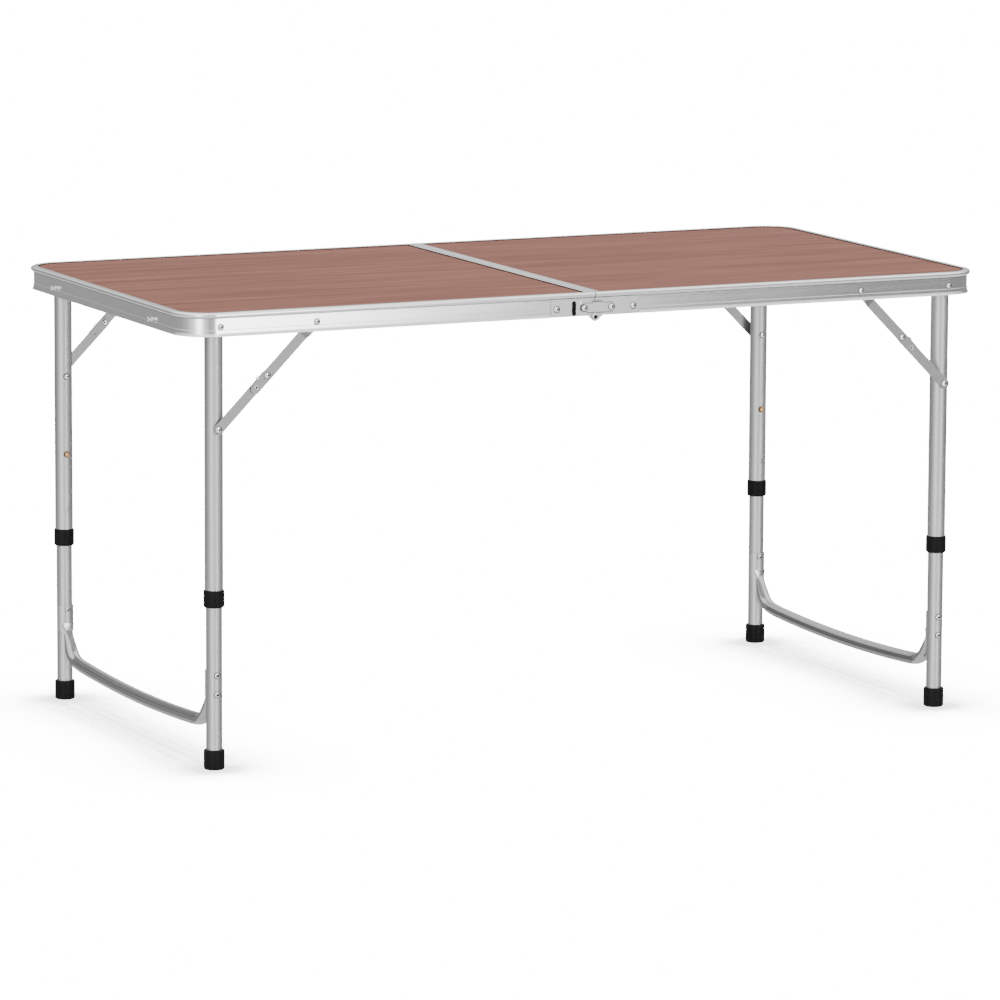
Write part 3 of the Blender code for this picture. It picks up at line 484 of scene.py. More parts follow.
def make_hinge_plate(half, face):
    side = (1, FACES[face])
    top = down(7.4)
    bottom = down(31.7)
    mesh = bmesh.new()
    cutters = []
    if half == "left":
        outline = [(-66.0 * MM, bottom), (-66.0 * MM, top), (-0.6 * MM, top), (-0.6 * MM, down(27.6))]
        outline += lobe(80, -150, 22) + [(-10.5 * MM, bottom)]
        prism(mesh, outline, "Y", out_y(2.7), out_y(1.5))
        cutters.append(prism(bmesh.new(), slot_outline(3.0 * MM), "Y", out_y(4), out_y(0)))
    else:
        outline = [(0.6 * MM, down(27.0)), (10.0 * MM, down(27.0)), (10.0 * MM, bottom), (66.5 * MM, bottom)]
        outline += [(66.5 * MM, top), (0.6 * MM, top)]
        prism(mesh, outline, "Y", out_y(2.7), out_y(1.5))
    cutters.append(turned(bmesh.new(), [(2.6 * MM, out_y(8)), (2.6 * MM, out_y(-2))], "Y", (0, FOLD_Z)))
    stud_x, rivet_x = (STUD_X, -57.4 * MM) if half == "left" else (HOOK_X, 58.0 * MM)
    name = "hinge_plate_look_%s_%s" % (half, face)
    node = "hinge_plate_%s_%s" % (half, face)
    body = half + "_half"
    piece(name, mesh, [PLATE], body, node, side, cutters, bevel=0.25 * MM)
    studs = bmesh.new()
    plate_rivet(studs, rivet_x, 1.8, 1.45)
    plate_rivet(studs, stud_x, -0.2, 1.35)
    if half == "left":
        dimple = dome(2.7 * MM, out_y(1.6), 0.15 * MM, 4)
        turned(studs, dimple, "Y", (-20.0 * MM, down(12.8)), 20, 1)
        # Painted shade: a dark sheet behind the slot in the plate
        box(studs, (-34.6 * MM, -28.2 * MM), (out_y(2.92), out_y(2.72)), (down(31.0), down(10.6)), 2)
    piece("hinge_rivets_%s_%s" % (half, face), studs, [PLATE, RIVET, SHADE_BLACK], body, node, side)
    if half == "right":
        shape = lobe(100, 310, 20) + [(11.5 * MM, down(31.6)), (11.5 * MM, down(28.6))]
        knuckle = prism(bmesh.new(), shape, "Y", out_y(1.2), out_y(0.1))
        hole = turned(bmesh.new(), [(2.6 * MM, out_y(8)), (2.6 * MM, out_y(-2))], "Y", (0, FOLD_Z))
        piece("hinge_knuckle_" + face, knuckle, [PLATE], body, node, side, [hole],
              bevel=0.25 * MM)


def make_hinge_pin(face):
    profile = [(3.1 * MM, out_y(4.4)), (3.4 * MM, out_y(4.1)), (3.4 * MM, out_y(3.0)),
               (2.2 * MM, out_y(3.0)), (2.2 * MM, out_y(-0.2)), (4.4 * MM, out_y(-0.2)),
               (4.4 * MM, out_y(-0.5)), (3.7 * MM, out_y(-1.2)), (2.9 * MM, out_y(-1.2)),
               (2.4 * MM, out_y(-0.3)), (0.6 * MM, out_y(-0.2))]
    mesh = turned(bmesh.new(), profile, "Y", (0.0, FOLD_Z), 28)
    # Painted shade: a dark disc in the hollow of the pin's head
    turned(mesh, [(2.5 * MM, out_y(-0.3)), (2.5 * MM, out_y(-0.5))], "Y", (0.0, FOLD_Z), 28, 1)
    piece("hinge_pin_look_" + face, mesh, [RIVET, SHADE_BLACK], "left_half", "hinge_pin_" + face,
          (1, FACES[face]))


def make_hook(face):
    side = (1, FACES[face])
    top = HINGE_Z + 6.4 * MM
    low = HINGE_Z - 6.0 * MM
    tab_top = down(10.2)
    stud_angle = math.degrees(math.atan2(HINGE_Z - FOLD_Z, STUD_X))
    leave = math.hypot(STUD_X, HINGE_Z - FOLD_Z) + 3.0 * MM
    tip = arc((STUD_X, HINGE_Z), 5.0 * MM, 90, 202, 12)
    outline = arc((HOOK_X, HINGE_Z), 6.2 * MM, -90, 90, 18)
    outline += [(11.8 * MM, top), (11.8 * MM, tab_top), (-3.8 * MM, tab_top), (-3.8 * MM, top)]
    outline += [(STUD_X, top)] + tip
    outline += arc((0.0, FOLD_Z), leave, stud_angle + 10.4, stud_angle, 5)
    outline += arc((STUD_X, HINGE_Z), 3.0 * MM, stud_angle, 0, 10)[1:]
    outline.append((STUD_X + 3.0 * MM, low))
    mesh = prism(bmesh.new(), outline, "Y", out_y(1.2), out_y(0.1))
    eye = turned(bmesh.new(), [(2.6 * MM, out_y(3)), (2.6 * MM, out_y(-2))], "Y", (HOOK_X, HINGE_Z))
    node = "hinge_hook_" + face
    piece("hook_look_" + face, mesh, [PLATE], node, node, side, [eye], bevel=0.25 * MM)
    section = [(1.0, 0.0), (-1.55, 1.0), (-1.55, 1.5), (1.0, 1.6)]
    outline = [(out_y(inset), tab_top - drop * MM) for inset, drop in section]
    lip = prism(bmesh.new(), outline, "X", -3.2 * MM, 11.2 * MM)
    # Painted shadow: a dark line under the tab and a dark outline behind the hook
    box(lip, (-3.4 * MM, 11.4 * MM), (out_y(0.05), out_y(-0.3)), (tab_top - 3.0 * MM, tab_top - 1.5 * MM), 1)
    shadow = arc((HOOK_X, HINGE_Z), 7.0 * MM, -90, 90, 18)
    shadow += [(STUD_X, HINGE_Z + 7.0 * MM)] + arc((STUD_X, HINGE_Z), 5.8 * MM, 90, 202, 12)
    shadow += [(-12.5 * MM, HINGE_Z - 2.2 * MM), (-12.5 * MM, HINGE_Z - 7.0 * MM)]
    prism(lip, shadow, "Y", out_y(1.42), out_y(1.25), 1)
    piece("hook_tab_" + face, lip, [RIVET, SHADE_BLACK], node, node, side, bevel=0.2 * MM)


# ---------------------------------------------------------------- legs

SIDES = 72


def leg_rings(section, sides=SIDES):
    rings = []
    for radius, z in section:
        rings.append([Vector((LEG_X + u, LEG_Y + v, z)) for u, v in circle(radius, sides)])
    return rings


def tube(radius, bottom, top_of, steps):
    """An open tube; its top edge follows top_of, and its wall is cut in even courses."""
    wall = 1.2 * MM
    rings = []
    for ring_radius, order in ((radius, range(steps + 1)), (radius - wall, range(steps, -1, -1))):
        for i in order:
            ring = []
            for u, v in circle(ring_radius, SIDES):
                high = top_of(u)
                ring.append(Vector((LEG_X + u, LEG_Y + v, bottom + (high - bottom) * i / steps)))
            rings.append(ring)
    return loft(bmesh.new(), rings, closed=True)


def rounded_top(offset):
    share = min(1.0, abs(offset) / OUTER_RADIUS)
    return PIVOT_Z + 12.2 * MM * math.sqrt(1.0 - share * share)


def bore(x, z, radius, y_from, y_to, sides=24):
    return turned(bmesh.new(), [(radius, y_from), (radius, y_to)], "Y", (x, z), sides)


def make_leg(corner):
    side = CORNERS[corner]
    half = SIDE_OF[corner]
    legs = half + "_legs"
    feet = half + "_feet"
    near = (LEG_Y - 16 * MM, LEG_Y)
    cutters = [bore(LEG_X, BUTTON_Z, 4.8 * MM, *near), bore(LEG_X, SPARE_HOLE_Z, 3.9 * MM, *near)]
    piece("upper_tube_" + corner, tube(OUTER_RADIUS, 0.2235, rounded_top, 1), [TUBE], legs,
          "leg_outer_" + corner, side, cutters)
    lower = tube(INNER_RADIUS, 3.3 * MM, lambda _: 0.392, 1)
    holes = [bore(LEG_X, BUTTON_Z, 4.4 * MM, *near), bore(LEG_X, BUTTON_Z - 0.065, 4.4 * MM, *near)]
    piece("lower_tube_" + corner, lower, [TUBE], feet, "leg_inner_" + corner, side, holes)

    collar = [
        (11.3, 220.0), (12.6, 220.0), (13.3, 220.3), (13.8, 221.0), (14.1, 222.0), (14.2, 223.0),
        (14.2, 240.0), (14.05, 241.6), (13.7, 242.7), (13.2, 243.3), (12.8, 243.5), (12.8, 223.2),
        (11.3, 223.2),
    ]
    mesh = loft(bmesh.new(), leg_rings([(r * MM, z * MM) for r, z in collar]), closed=True)
    piece("collar_look_" + corner, mesh, [BLACK], legs, "collar_" + corner, side)
    foot = [
        (9.0, 0.0), (11.6, 0.0), (12.6, 0.25), (13.4, 0.9), (13.9, 1.9), (14.1, 3.2), (14.2, 24.6),
        (14.1, 25.8), (13.7, 26.6), (13.0, 27.0), (11.3, 27.0), (11.3, 3.0), (9.0, 3.0),
    ]
    mesh = loft(bmesh.new(), leg_rings([(r * MM, z * MM) for r, z in foot]))
    piece("foot_look_" + corner, mesh, [BLACK], feet, "foot_" + corner, side)

    pivot = [(3.6 * MM, 0.2574), (4.3 * MM, 0.2578), (4.5 * MM, 0.2583), (4.5 * MM, 0.2589),
             (3.0 * MM, 0.2589), (3.0 * MM, 0.2845), (5.5 * MM, 0.2845), (5.5 * MM, 0.2941),
             (2.5 * MM, 0.2941), (2.5 * MM, 0.2971)]
    pivot += dome(3.9 * MM, 0.2971, 1.5 * MM, 7)
    centre = (LEG_X, PIVOT_Z)
    mesh = turned(bmesh.new(), pivot, "Y", centre, 28)
    # Painted shade round the rivet heads and on their tips
    painted_rivet_shade(mesh, "Y", centre, 3.9 * MM, 0.2971, 0.2986, 1)
    painted_rivet_shade(mesh, "Y", centre, 4.5 * MM, 0.2589, 0.2573, 1)
    node = "leg_pivot_" + corner
    piece("leg_rivet_" + corner, mesh, [RIVET, SHADE_BLACK], half + "_half", node, side)

    face = LEG_Y - OUTER_RADIUS
    button = [(3.7 * MM, face + 1.1 * MM), (3.7 * MM, face - 1.4 * MM)]
    button += dome(3.7 * MM, face - 1.4 * MM, -2.5 * MM, 6)[1:]
    mesh = turned(bmesh.new(), button, "Y", (LEG_X, BUTTON_Z), 24)
    name = "snap_button_" + corner
    piece("button_look_" + corner, mesh, [BRASS], name, name, side)


# ---------------------------------------------------------------- crossbars

# From the saddle to the level run: inward from the leg's axis, height, half-width along X,
# half-thickness in mm, and how far the two side grooves are pressed in (0 to 1)
BAR_BEND = [
    (12.05, 110.0, 9.0, 0.7, 0.0), (12.3, 105.0, 8.2, 0.9, 0.0), (12.9, 100.5, 7.4, 1.4, 0.0),
    (14.2, 96.5, 7.0, 2.6, 0.0), (15.9, 92.5, 7.0, 4.0, 0.0), (17.7, 88.6, 7.4, 5.2, 0.0),
    (19.6, 84.5, 7.9, 6.2, 0.0), (21.9, 80.2, 8.4, 6.9, 0.0), (24.5, 76.0, 8.8, 7.4, 0.0),
    (27.5, 71.8, 9.1, 7.7, 0.0), (31.0, 68.2, 9.3, 7.9, 0.0), (35.2, 65.0, 9.5, 8.1, 0.0),
    (40.0, 62.4, 9.6, 8.3, 0.1), (44.5, 60.9, 9.7, 8.4, 0.35), (49.0, 59.8, 9.8, 8.5, 0.7),
    (54.0, 59.0, 9.9, 8.6, 1.0), (62.0, 58.0, 9.9, 8.7, 1.0),
]


BAR_MIDDLE_Z = 0.0515
BAR_END_RISE = 0.0057
BAR_END_IN = 0.072
BAR_RUN_STEPS = 12
BAR_RUN_SIZE = (9.9 * MM, 8.8 * MM)

# Places of the crossbar's painted shade and light bands in its list of materials
DISH_SHADE_SLOT, RIB_LIGHT_SLOT, FLANK_SHADE_SLOT = 3, 4, 5


def bar_stations():
    """Stations from the back leg to the front one: y, z, half-width, half-thickness, grooves."""
    half = [(LEG_Y - s * MM, z * MM, a * MM, b * MM, g) for s, z, a, b, g in BAR_BEND]
    start = LEG_Y - BAR_END_IN
    for step in range(BAR_RUN_STEPS):
        y = start * (1.0 - step / BAR_RUN_STEPS)
        share = y / start
        half.append((y, BAR_MIDDLE_Z + BAR_END_RISE * share * share, *BAR_RUN_SIZE, 1.0))
    middle = [(0.0, BAR_MIDDLE_Z, *BAR_RUN_SIZE, 1.0)]
    return half + middle + [(-y, z, a, b, g) for y, z, a, b, g in reversed(half)]


def bar_section(width, thick, pressed):
    """An oval whose two sides are pressed in between a narrow top rib and a wide bottom one."""
    points = []
    for u, v in circle(1.0, 64):
        height = v - 0.12
        dish = max(0.0, 1.0 - (height / 0.62) ** 4) * pressed
        side = math.copysign(min(abs(u), 1.0 - 0.34 * dish), u) if abs(u) > 0.3 else u
        points.append((side * width, v * thick))
    return points


def make_crossbar(half):
    stations = bar_stations()
    rings = []
    for i, (y, z, width, thick, pressed) in enumerate(stations):
        before = stations[max(i - 1, 0)]
        after = stations[min(i + 1, len(stations) - 1)]
        along = Vector((0, after[0] - before[0], after[1] - before[1])).normalized()
        across = Vector((0, along.z, -along.y))
        centre = Vector((LEG_X, y, z))
        section = bar_section(width, thick, pressed)
        rings.append([centre + Vector((u, 0, 0)) + across * v for u, v in section])
    # Painted shade and light: the dish faces take a dark copy of the metal, the ribs a light one, the inner
    # flank a mid one
    painted_bands = {}
    for i, (u, v) in enumerate(circle(1.0, 64)):
        if u > 0.0:
            painted_bands[i] = DISH_SHADE_SLOT if 0.28 < v < 0.93 else RIB_LIGHT_SLOT
        elif v > 0.46:
            painted_bands[i] = RIB_LIGHT_SLOT
        elif v > 0.34:
            painted_bands[i] = DISH_SHADE_SLOT
        else:
            painted_bands[i] = FLANK_SHADE_SLOT
    ends = 14
    mesh = loft(bmesh.new(), rings[:ends + 1], capped=False)
    loft(mesh, rings[ends:-ends], strips=painted_bands, capped=False)
    loft(mesh, rings[-ends - 1:], capped=False)
    for ring in (rings[0], rings[-1]):
        mesh.faces.new([mesh.verts.new(point) for point in ring])
    bmesh.ops.remove_doubles(mesh, verts=mesh.verts, dist=0.001 * MM)
    for sign in (-1, 1):
        part = bmesh.new()
        inner = arc((LEG_X, LEG_Y), INNER_RADIUS + 0.3 * MM, 193, 347, 28)
        outer = arc((LEG_X, LEG_Y), INNER_RADIUS + 1.5 * MM, 347, 193, 28)
        prism(part, inner + outer, "Z", 0.0985, 0.135, 2)
        for z in (0.1285, 0.1025):
            profile = dome(3.4 * MM, LEG_Y - 12.3 * MM, -1.5 * MM, 5)[::-1]
            profile += [(2.0 * MM, LEG_Y - 12.0 * MM), (2.0 * MM, LEG_Y + 11.0 * MM)]
            profile += dome(3.9 * MM, LEG_Y + 11.0 * MM, 1.9 * MM, 6)
            turned(part, profile, "Y", (LEG_X, z), 24, 1)
            # Painted shade round the rivet heads and on their tips
            painted_rivet_shade(part, "Y", (LEG_X, z), 3.9 * MM, LEG_Y + 11.0 * MM, LEG_Y + 12.9 * MM, 6, 0.42)
            painted_rivet_shade(part, "Y", (LEG_X, z), 3.4 * MM, LEG_Y - 12.3 * MM, LEG_Y - 13.8 * MM, 6, 0.42)
        bmesh.ops.transform(part, matrix=Matrix.Diagonal((1, sign, 1, 1)), verts=part.verts)
        data = bpy.data.meshes.new("part")
        part.to_mesh(data)
        part.free()
        mesh.from_mesh(data)
        bpy.data.meshes.remove(data)
    piece("crossbar_look_" + half, mesh, [BAR, RIVET, TUBE, BAR_DISH_SHADE, BAR_RIB_LIGHT, BAR_FLANK_SHADE, SHADE_BLACK],
          half + "_feet", "crossbar_" + half, (HALVES[half], 1))


# ---------------------------------------------------------------- braces

BRACE_ALONG = Vector((math.sqrt(0.5), 0, -math.sqrt(0.5)))
BRACE_ACROSS = Vector((math.sqrt(0.5), 0, math.sqrt(0.5)))
BRACE_TOP = Vector((LEG_X - BRACE_ARM, 0, PIVOT_Z))
BRACE_FOOT = Vector((LEG_X, 0, PIVOT_Z - BRACE_ARM))
ELBOW = BRACE_TOP + BRACE_ALONG * BRACE_LINK
LOWER_Y = 0.2872
UPPER_Y = 0.2893
UPPER_END_Y = 0.2929
STRIP_THICK = 1.8 * MM


def strip(start, length, inner_face):
    radius = 7.0 * MM
    turns = [math.radians(90.0 * i / 12) for i in range(13)]
    ends = [(radius * math.sin(t), radius * max(0.03, math.cos(t))) for t in turns]
    stops = [(-e, w) for e, w in reversed(ends)]
    stops += [(s, radius) for s in (0.0105, 0.016, 0.018, 0.020, 0.024, 0.026, 0.028, 0.034)]
    stops += [(length + e, w) for e, w in ends]
    rings = []
    for along, width in stops:
        centre = start + BRACE_ALONG * along
        y = inner_face(along)
        low = centre - BRACE_ACROSS * width
        high = centre + BRACE_ACROSS * width
        rings.append([Vector((low.x, y, low.z)), Vector((high.x, y, high.z)),
                      Vector((high.x, y + STRIP_THICK, high.z)), Vector((low.x, y + STRIP_THICK, low.z))])
    return loft(bmesh.new(), rings)


def joggled(along):
    share = min(1.0, max(0.0, (0.026 - along) / 0.008))
    smooth = share * share * (3.0 - 2.0 * share)
    return UPPER_Y + (UPPER_END_Y - UPPER_Y) * smooth


def brace_point(along, across=0.0):
    return BRACE_TOP + BRACE_ALONG * along + BRACE_ACROSS * across


def make_upper_brace(corner):
    side = CORNERS[corner]
    node = "brace_upper_" + corner
    face = UPPER_Y + STRIP_THICK
    length = BRACE_LINK + 24 * MM
    ring_at = brace_point(BRACE_LINK + 21.5 * MM)
    hole = bore(ring_at.x, ring_at.z, 1.5 * MM, UPPER_Y - 1 * MM, face + 1 * MM, 20)
    piece("brace_upper_look_" + corner, strip(BRACE_TOP, length, joggled), [STRIP], node, node,
          side, [hole], bevel=0.35 * MM)
    mesh = bmesh.new()
    pin = [(3.2 * MM, UPPER_END_Y - 1.0 * MM), (3.2 * MM, UPPER_END_Y + 1.0 * MM),
           (2.5 * MM, UPPER_END_Y + 1.0 * MM), (2.5 * MM, 0.2971)]
    turned(mesh, pin + dome(3.9 * MM, 0.2971, 1.5 * MM, 7), "Y", (BRACE_TOP.x, BRACE_TOP.z), 28)
    head = [(4.2 * MM, face - 0.5 * MM), (4.2 * MM, face + 0.2 * MM)]
    head += dome(4.2 * MM, face + 0.2 * MM, 1.2 * MM, 6)[1:]
    turned(mesh, head, "Y", (ELBOW.x, ELBOW.z), 28)
    dimple = [(2.7 * MM, face - 0.3 * MM), (2.7 * MM, face + 0.15 * MM), (2.3 * MM, face + 0.4 * MM),
              (1.5 * MM, face + 0.15 * MM), (1.2 * MM, face - 0.3 * MM)]
    turned(mesh, dimple, "Y", (ring_at.x, ring_at.z), 24)
    # Painted shade round the rivet heads and on their tips
    painted_rivet_shade(mesh, "Y", (BRACE_TOP.x, BRACE_TOP.z), 3.9 * MM, 0.2971, 0.2986, 1)
    painted_rivet_shade(mesh, "Y", (ELBOW.x, ELBOW.z), 4.2 * MM, face, face + 1.4 * MM, 1)
    piece("brace_rivets_" + corner, mesh, [RIVET, SHADE_BLACK], node, node, side)
    section = [(5.5, face - 0.1 * MM), (8.2, face - 0.1 * MM), (8.7, face - 0.6 * MM),
               (8.7, LOWER_Y + 0.1 * MM), (7.5, LOWER_Y + 0.1 * MM), (7.5, UPPER_Y + 0.1 * MM),
               (5.5, UPPER_Y + 0.1 * MM)]
    rings = []
    for along in (BRACE_LINK + 8.6 * MM, BRACE_LINK + 14.0 * MM):
        points = [brace_point(along, offset * MM) for offset, _ in section]
        rings.append([Vector((p.x, y, p.z)) for p, (_, y) in zip(points, section)])
    piece("brace_tab_" + corner, loft(bmesh.new(), rings), [RIVET], node, node, side,
          bevel=0.3 * MM)


def make_lower_brace(corner):
    side = CORNERS[corner]
    node = "brace_lower_" + corner
    dent_at = brace_point(BRACE_LINK + 21.5 * MM)
    dent = bore(dent_at.x, dent_at.z, 1.7 * MM, LOWER_Y - 1 * MM, LOWER_Y + 1.2 * MM, 20)
    piece("brace_lower_look_" + corner, strip(ELBOW, BRACE_LINK, lambda _: LOWER_Y), [STRIP], node, node,
          side, [dent], bevel=0.35 * MM)
    face = LOWER_Y + STRIP_THICK
    mesh = bmesh.new()
    pin = [(3.2 * MM, 0.2575), (3.8 * MM, 0.2578), (4.0 * MM, 0.2583), (4.0 * MM, 0.2589),
           (2.5 * MM, 0.2589), (2.5 * MM, 0.2845), (4.5 * MM, 0.2845), (4.5 * MM, face + 0.1 * MM)]
    pin += dome(4.5 * MM, face + 0.1 * MM, 1.3 * MM, 6)[1:]
    turned(mesh, pin, "Y", (BRACE_FOOT.x, BRACE_FOOT.z), 28)
    tail = [(1.3 * MM, LOWER_Y - 0.5 * MM), (1.7 * MM, LOWER_Y - 1.2 * MM), (2.6 * MM, LOWER_Y - 1.3 * MM),
            (3.4 * MM, LOWER_Y - 0.6 * MM), (3.4 * MM, LOWER_Y + 0.9 * MM)]
    turned(mesh, tail, "Y", (ELBOW.x, ELBOW.z), 28)
    # Painted shade round the rivet heads and on their tips
    painted_rivet_shade(mesh, "Y", (BRACE_FOOT.x, BRACE_FOOT.z), 4.5 * MM, face, face + 1.4 * MM, 1)
    painted_rivet_shade(mesh, "Y", (BRACE_FOOT.x, BRACE_FOOT.z), 4.0 * MM, 0.2589, 0.2573, 1)
    painted_rivet_shade(mesh, "Y", (ELBOW.x, ELBOW.z), 3.4 * MM, LOWER_Y, LOWER_Y - 1.3 * MM, 1)
    piece("brace_pin_" + corner, mesh, [RIVET, SHADE_BLACK], node, node, side)


# ---------------------------------------------------------------- ends

def make_catch_stud(face):
    edge = HALF_LENGTH
    profile = [(3.2, -6.3), (3.6, -6.0), (3.6, -5.1), (2.1, -5.1), (2.1, -2.2), (4.0, -2.2), (3.8, -1.7),
               (3.0, -1.2), (2.2, -1.0), (2.1, 2.2), (2.6, 2.6), (3.3, 2.8), (3.3, 3.4)]
    profile = [(r * MM, edge + x * MM) for r, x in profile]
    profile += dome(3.3 * MM, edge + 3.4 * MM, 1.2 * MM, 5)[1:]
    mesh = turned(bmesh.new(), profile, "X", (LATCH_Y, down(20.5)), 28)
    node = "catch_stud_" + face
    piece("catch_look_" + face, mesh, [RIVET], "left_half", node, (-1, FACES[face]))


def make_hasp(face):
    side = (1, FACES[face])
    edge = HALF_LENGTH
    axis_z = down(13.8)
    centre_x = edge + 0.4 * MM
    node = "hasp_base_" + face
    plate = box(bmesh.new(), (edge - 2.7 * MM, edge - 1.4 * MM), (LATCH_Y - 13 * MM, LATCH_Y + 13 * MM),
                (down(22.8), down(11.0)))
    piece("hasp_base_look_" + face, plate, [PLATE], "right_half", node, side, bevel=0.4 * MM)
    ears = bmesh.new()
    for near in (-11.0, 8.3):
        y = LATCH_Y + near * MM
        outline = arc((centre_x, axis_z), 2.4 * MM, -60, 110, 12)
        outline += [(edge - 2.0 * MM, down(11.4)), (edge - 2.0 * MM, down(16.8))]
        prism(ears, outline, "Y", y, y + 2.7 * MM)
    piece("hasp_ears_" + face, ears, [PLATE], "right_half", node, side)
    tip_z = down(48.5)
    radius = 8.0 * MM
    outline = arc((LATCH_Y, tip_z), radius, 180, 360, 28)
    outline += [(LATCH_Y + radius, axis_z), (LATCH_Y - radius, axis_z)]
    strap = prism(bmesh.new(), outline, "X", edge, edge + 1.3 * MM)
    hole_wall = [(4.3 * MM, edge - 2 * MM), (4.3 * MM, edge + 4 * MM)]
    hole = turned(bmesh.new(), hole_wall, "X", (LATCH_Y, tip_z), 28)
    node = "hasp_" + face
    piece("hasp_look_" + face, strap, [PLATE], node, node, side, [hole], bevel=0.3 * MM)
    rings = []
    for r, proud in ((4.2, 1.2), (4.6, 1.75), (5.4, 1.75), (5.8, 1.2)):
        x = edge + proud * MM
        rings.append([Vector((x, LATCH_Y + u, tip_z + v)) for u, v in circle(r * MM, 36)])
    mesh = loft(bmesh.new(), rings, closed=True)
    knuckle = [(1.3, -11.8), (1.3, -8.0), (2.1, -7.9), (2.1, 7.9), (1.3, 8.0), (1.3, 11.8)]
    turned(mesh, [(r * MM, LATCH_Y + y * MM) for r, y in knuckle], "Y", (centre_x, axis_z), 20)
    piece("hasp_roll_" + face, mesh, [RIVET], node, node, side)


def make_handle():
    edge = HALF_LENGTH
    axis_z = down(18.8)
    centre_x = edge + 1.6 * MM
    for face, sign in FACES.items():
        node = "handle_bracket_" + face
        block = box(bmesh.new(), (edge - 2.7 * MM, edge + 4.6 * MM), (49 * MM, 63 * MM),
                    (axis_z - 3.8 * MM, axis_z + 7.0 * MM))
        hole = turned(bmesh.new(), [(2.4 * MM, 46 * MM), (2.4 * MM, 61 * MM)], "Y", (centre_x, axis_z))
        piece("handle_bracket_look_" + face, block, [BLACK], "right_half", node, (1, sign),
              [hole], bevel=0.5 * MM)
    arm_y = 44.5 * MM
    grip_z = down(58.0)
    bend = 10 * MM
    path = [(arm_y, axis_z + 2.5 * MM), (arm_y, axis_z - 8 * MM), (arm_y, grip_z + bend)]
    path += arc((arm_y - bend, grip_z + bend), bend, 0, -90, 14)[1:]
    path += [(-y, z) for y, z in reversed(path)]
    rings = []
    for i, (y, z) in enumerate(path):
        before = path[max(i - 1, 0)]
        after = path[min(i + 1, len(path) - 1)]
        along = Vector((0, after[0] - before[0], after[1] - before[1])).normalized()
        across = Vector((0, -along.z, along.y))
        centre = Vector((centre_x, y, z))
        oval = [(u * 2.3 * MM, v * 4.2 * MM) for u, v in circle(1.0, 28)]
        rings.append([centre + Vector((u, 0, 0)) + across * v for u, v in oval])
    mesh = loft(bmesh.new(), rings)
    for sign in (-1, 1):
        profile = [(2.0 * MM, sign * (arm_y - 2 * MM)), (2.0 * MM, sign * 60 * MM)]
        turned(mesh, profile, "Y", (centre_x, axis_z), 24)
    piece("handle_look", mesh, [BLACK], "carry_handle", "carry_handle")


# ---------------------------------------------------------------- studio

def make_floor():
    bpy.ops.mesh.primitive_plane_add(size=200.0, location=(0, 0, -0.0005))
    floor = bpy.context.object
    floor.name = "floor"
    material, tree, shader = nodes_of("pale_floor", (0.93, 0.93, 0.93), 0.9, 0.0)
    shader.inputs["Specular IOR Level"].default_value = 0.1
    # The camera sees a lit white sweep; the light that reaches the table is the plain floor's own
    glow = tree.nodes.new("ShaderNodeEmission")
    near = tree.nodes.new("ShaderNodeAmbientOcclusion")
    near.inputs["Distance"].default_value = 0.22
    soft = tree.nodes.new("ShaderNodeMapRange")
    # Painted shadow: the glow dims close under the crossbars and round the feet
    soft.interpolation_type = "SMOOTHSTEP"
    soft.inputs["From Min"].default_value = 0.86
    soft.inputs["From Max"].default_value = 0.985
    soft.inputs["To Min"].default_value = 0.20 * BACKDROP
    soft.inputs["To Max"].default_value = BACKDROP
    tree.links.new(near.outputs["AO"], soft.inputs["Value"])
    tree.links.new(soft.outputs["Result"], glow.inputs["Strength"])
    path = tree.nodes.new("ShaderNodeLightPath")
    seen = tree.nodes.new("ShaderNodeMath")
    seen.operation = "MULTIPLY"
    seen.inputs[1].default_value = 0.95
    tree.links.new(path.outputs["Is Camera Ray"], seen.inputs[0])
    mix = tree.nodes.new("ShaderNodeMixShader")
    tree.links.new(seen.outputs["Value"], mix.inputs["Fac"])
    tree.links.new(shader.outputs["BSDF"], mix.inputs[1])
    tree.links.new(glow.outputs["Emission"], mix.inputs[2])
    tree.links.new(mix.outputs["Shader"], tree.nodes["Material Output"].inputs["Surface"])
    floor.data.materials.append(material)
    floor.visible_glossy = False


def make_light(name, place, target, size, power):
    data = bpy.data.lights.new(name, "AREA")
    data.shape = "DISK"
    data.size = size
    data.energy = power
    light = bpy.data.objects.new(name, data)
    light.location = place
    light.rotation_euler = (Vector(target) - Vector(place)).to_track_quat("-Z", "Y").to_euler()
    light.visible_glossy = False
    bpy.context.scene.collection.objects.link(light)


BACKDROP = 17.5
AMBIENT = 0.95

# What the metal mirrors, by the direction it looks in: degrees from -Y towards +X, and brightness
# as a share of PEAK
PEAK = 8.8
SURROUND = [
    (-180, 0.044), (-150, 0.046), (-110, 0.053), (-85, 0.082), (-62, 0.18), (-44, 0.68), (-30, 0.18),
    (-10, 0.068), (6, 0.10), (12, 0.72), (21.4, 1.00), (23.2, 0.27), (25, 0.095), (28, 0.040), (80, 0.038),
    (120, 0.041), (150, 0.09), (165, 0.073), (180, 0.044),
]


def background(tree, strength, colour=None):
    node = tree.nodes.new("ShaderNodeBackground")
    node.inputs["Color"].default_value = (1.0, 1.0, 1.0, 1.0)
    node.inputs["Strength"].default_value = strength
    if colour:
        tree.links.new(colour, node.inputs["Color"])
    return node.outputs["Background"]


def blend_levels(tree, height, low, high, below, above):
    """Pass from one grey level to another between two heights of the view's direction."""
    share = tree.nodes.new("ShaderNodeMapRange")
    share.inputs["From Min"].default_value = low
    share.inputs["From Max"].default_value = high
    tree.links.new(height, share.inputs["Value"])
    mix = tree.nodes.new("ShaderNodeMix")
    mix.data_type = "RGBA"
    tree.links.new(share.outputs["Result"], mix.inputs["Factor"])
    for socket, level in (("A", below), ("B", above)):
        if isinstance(level, float):
            mix.inputs[socket].default_value = (level, level, level, 1.0)
        else:
            tree.links.new(level, mix.inputs[socket])
    return mix.outputs["Result"]


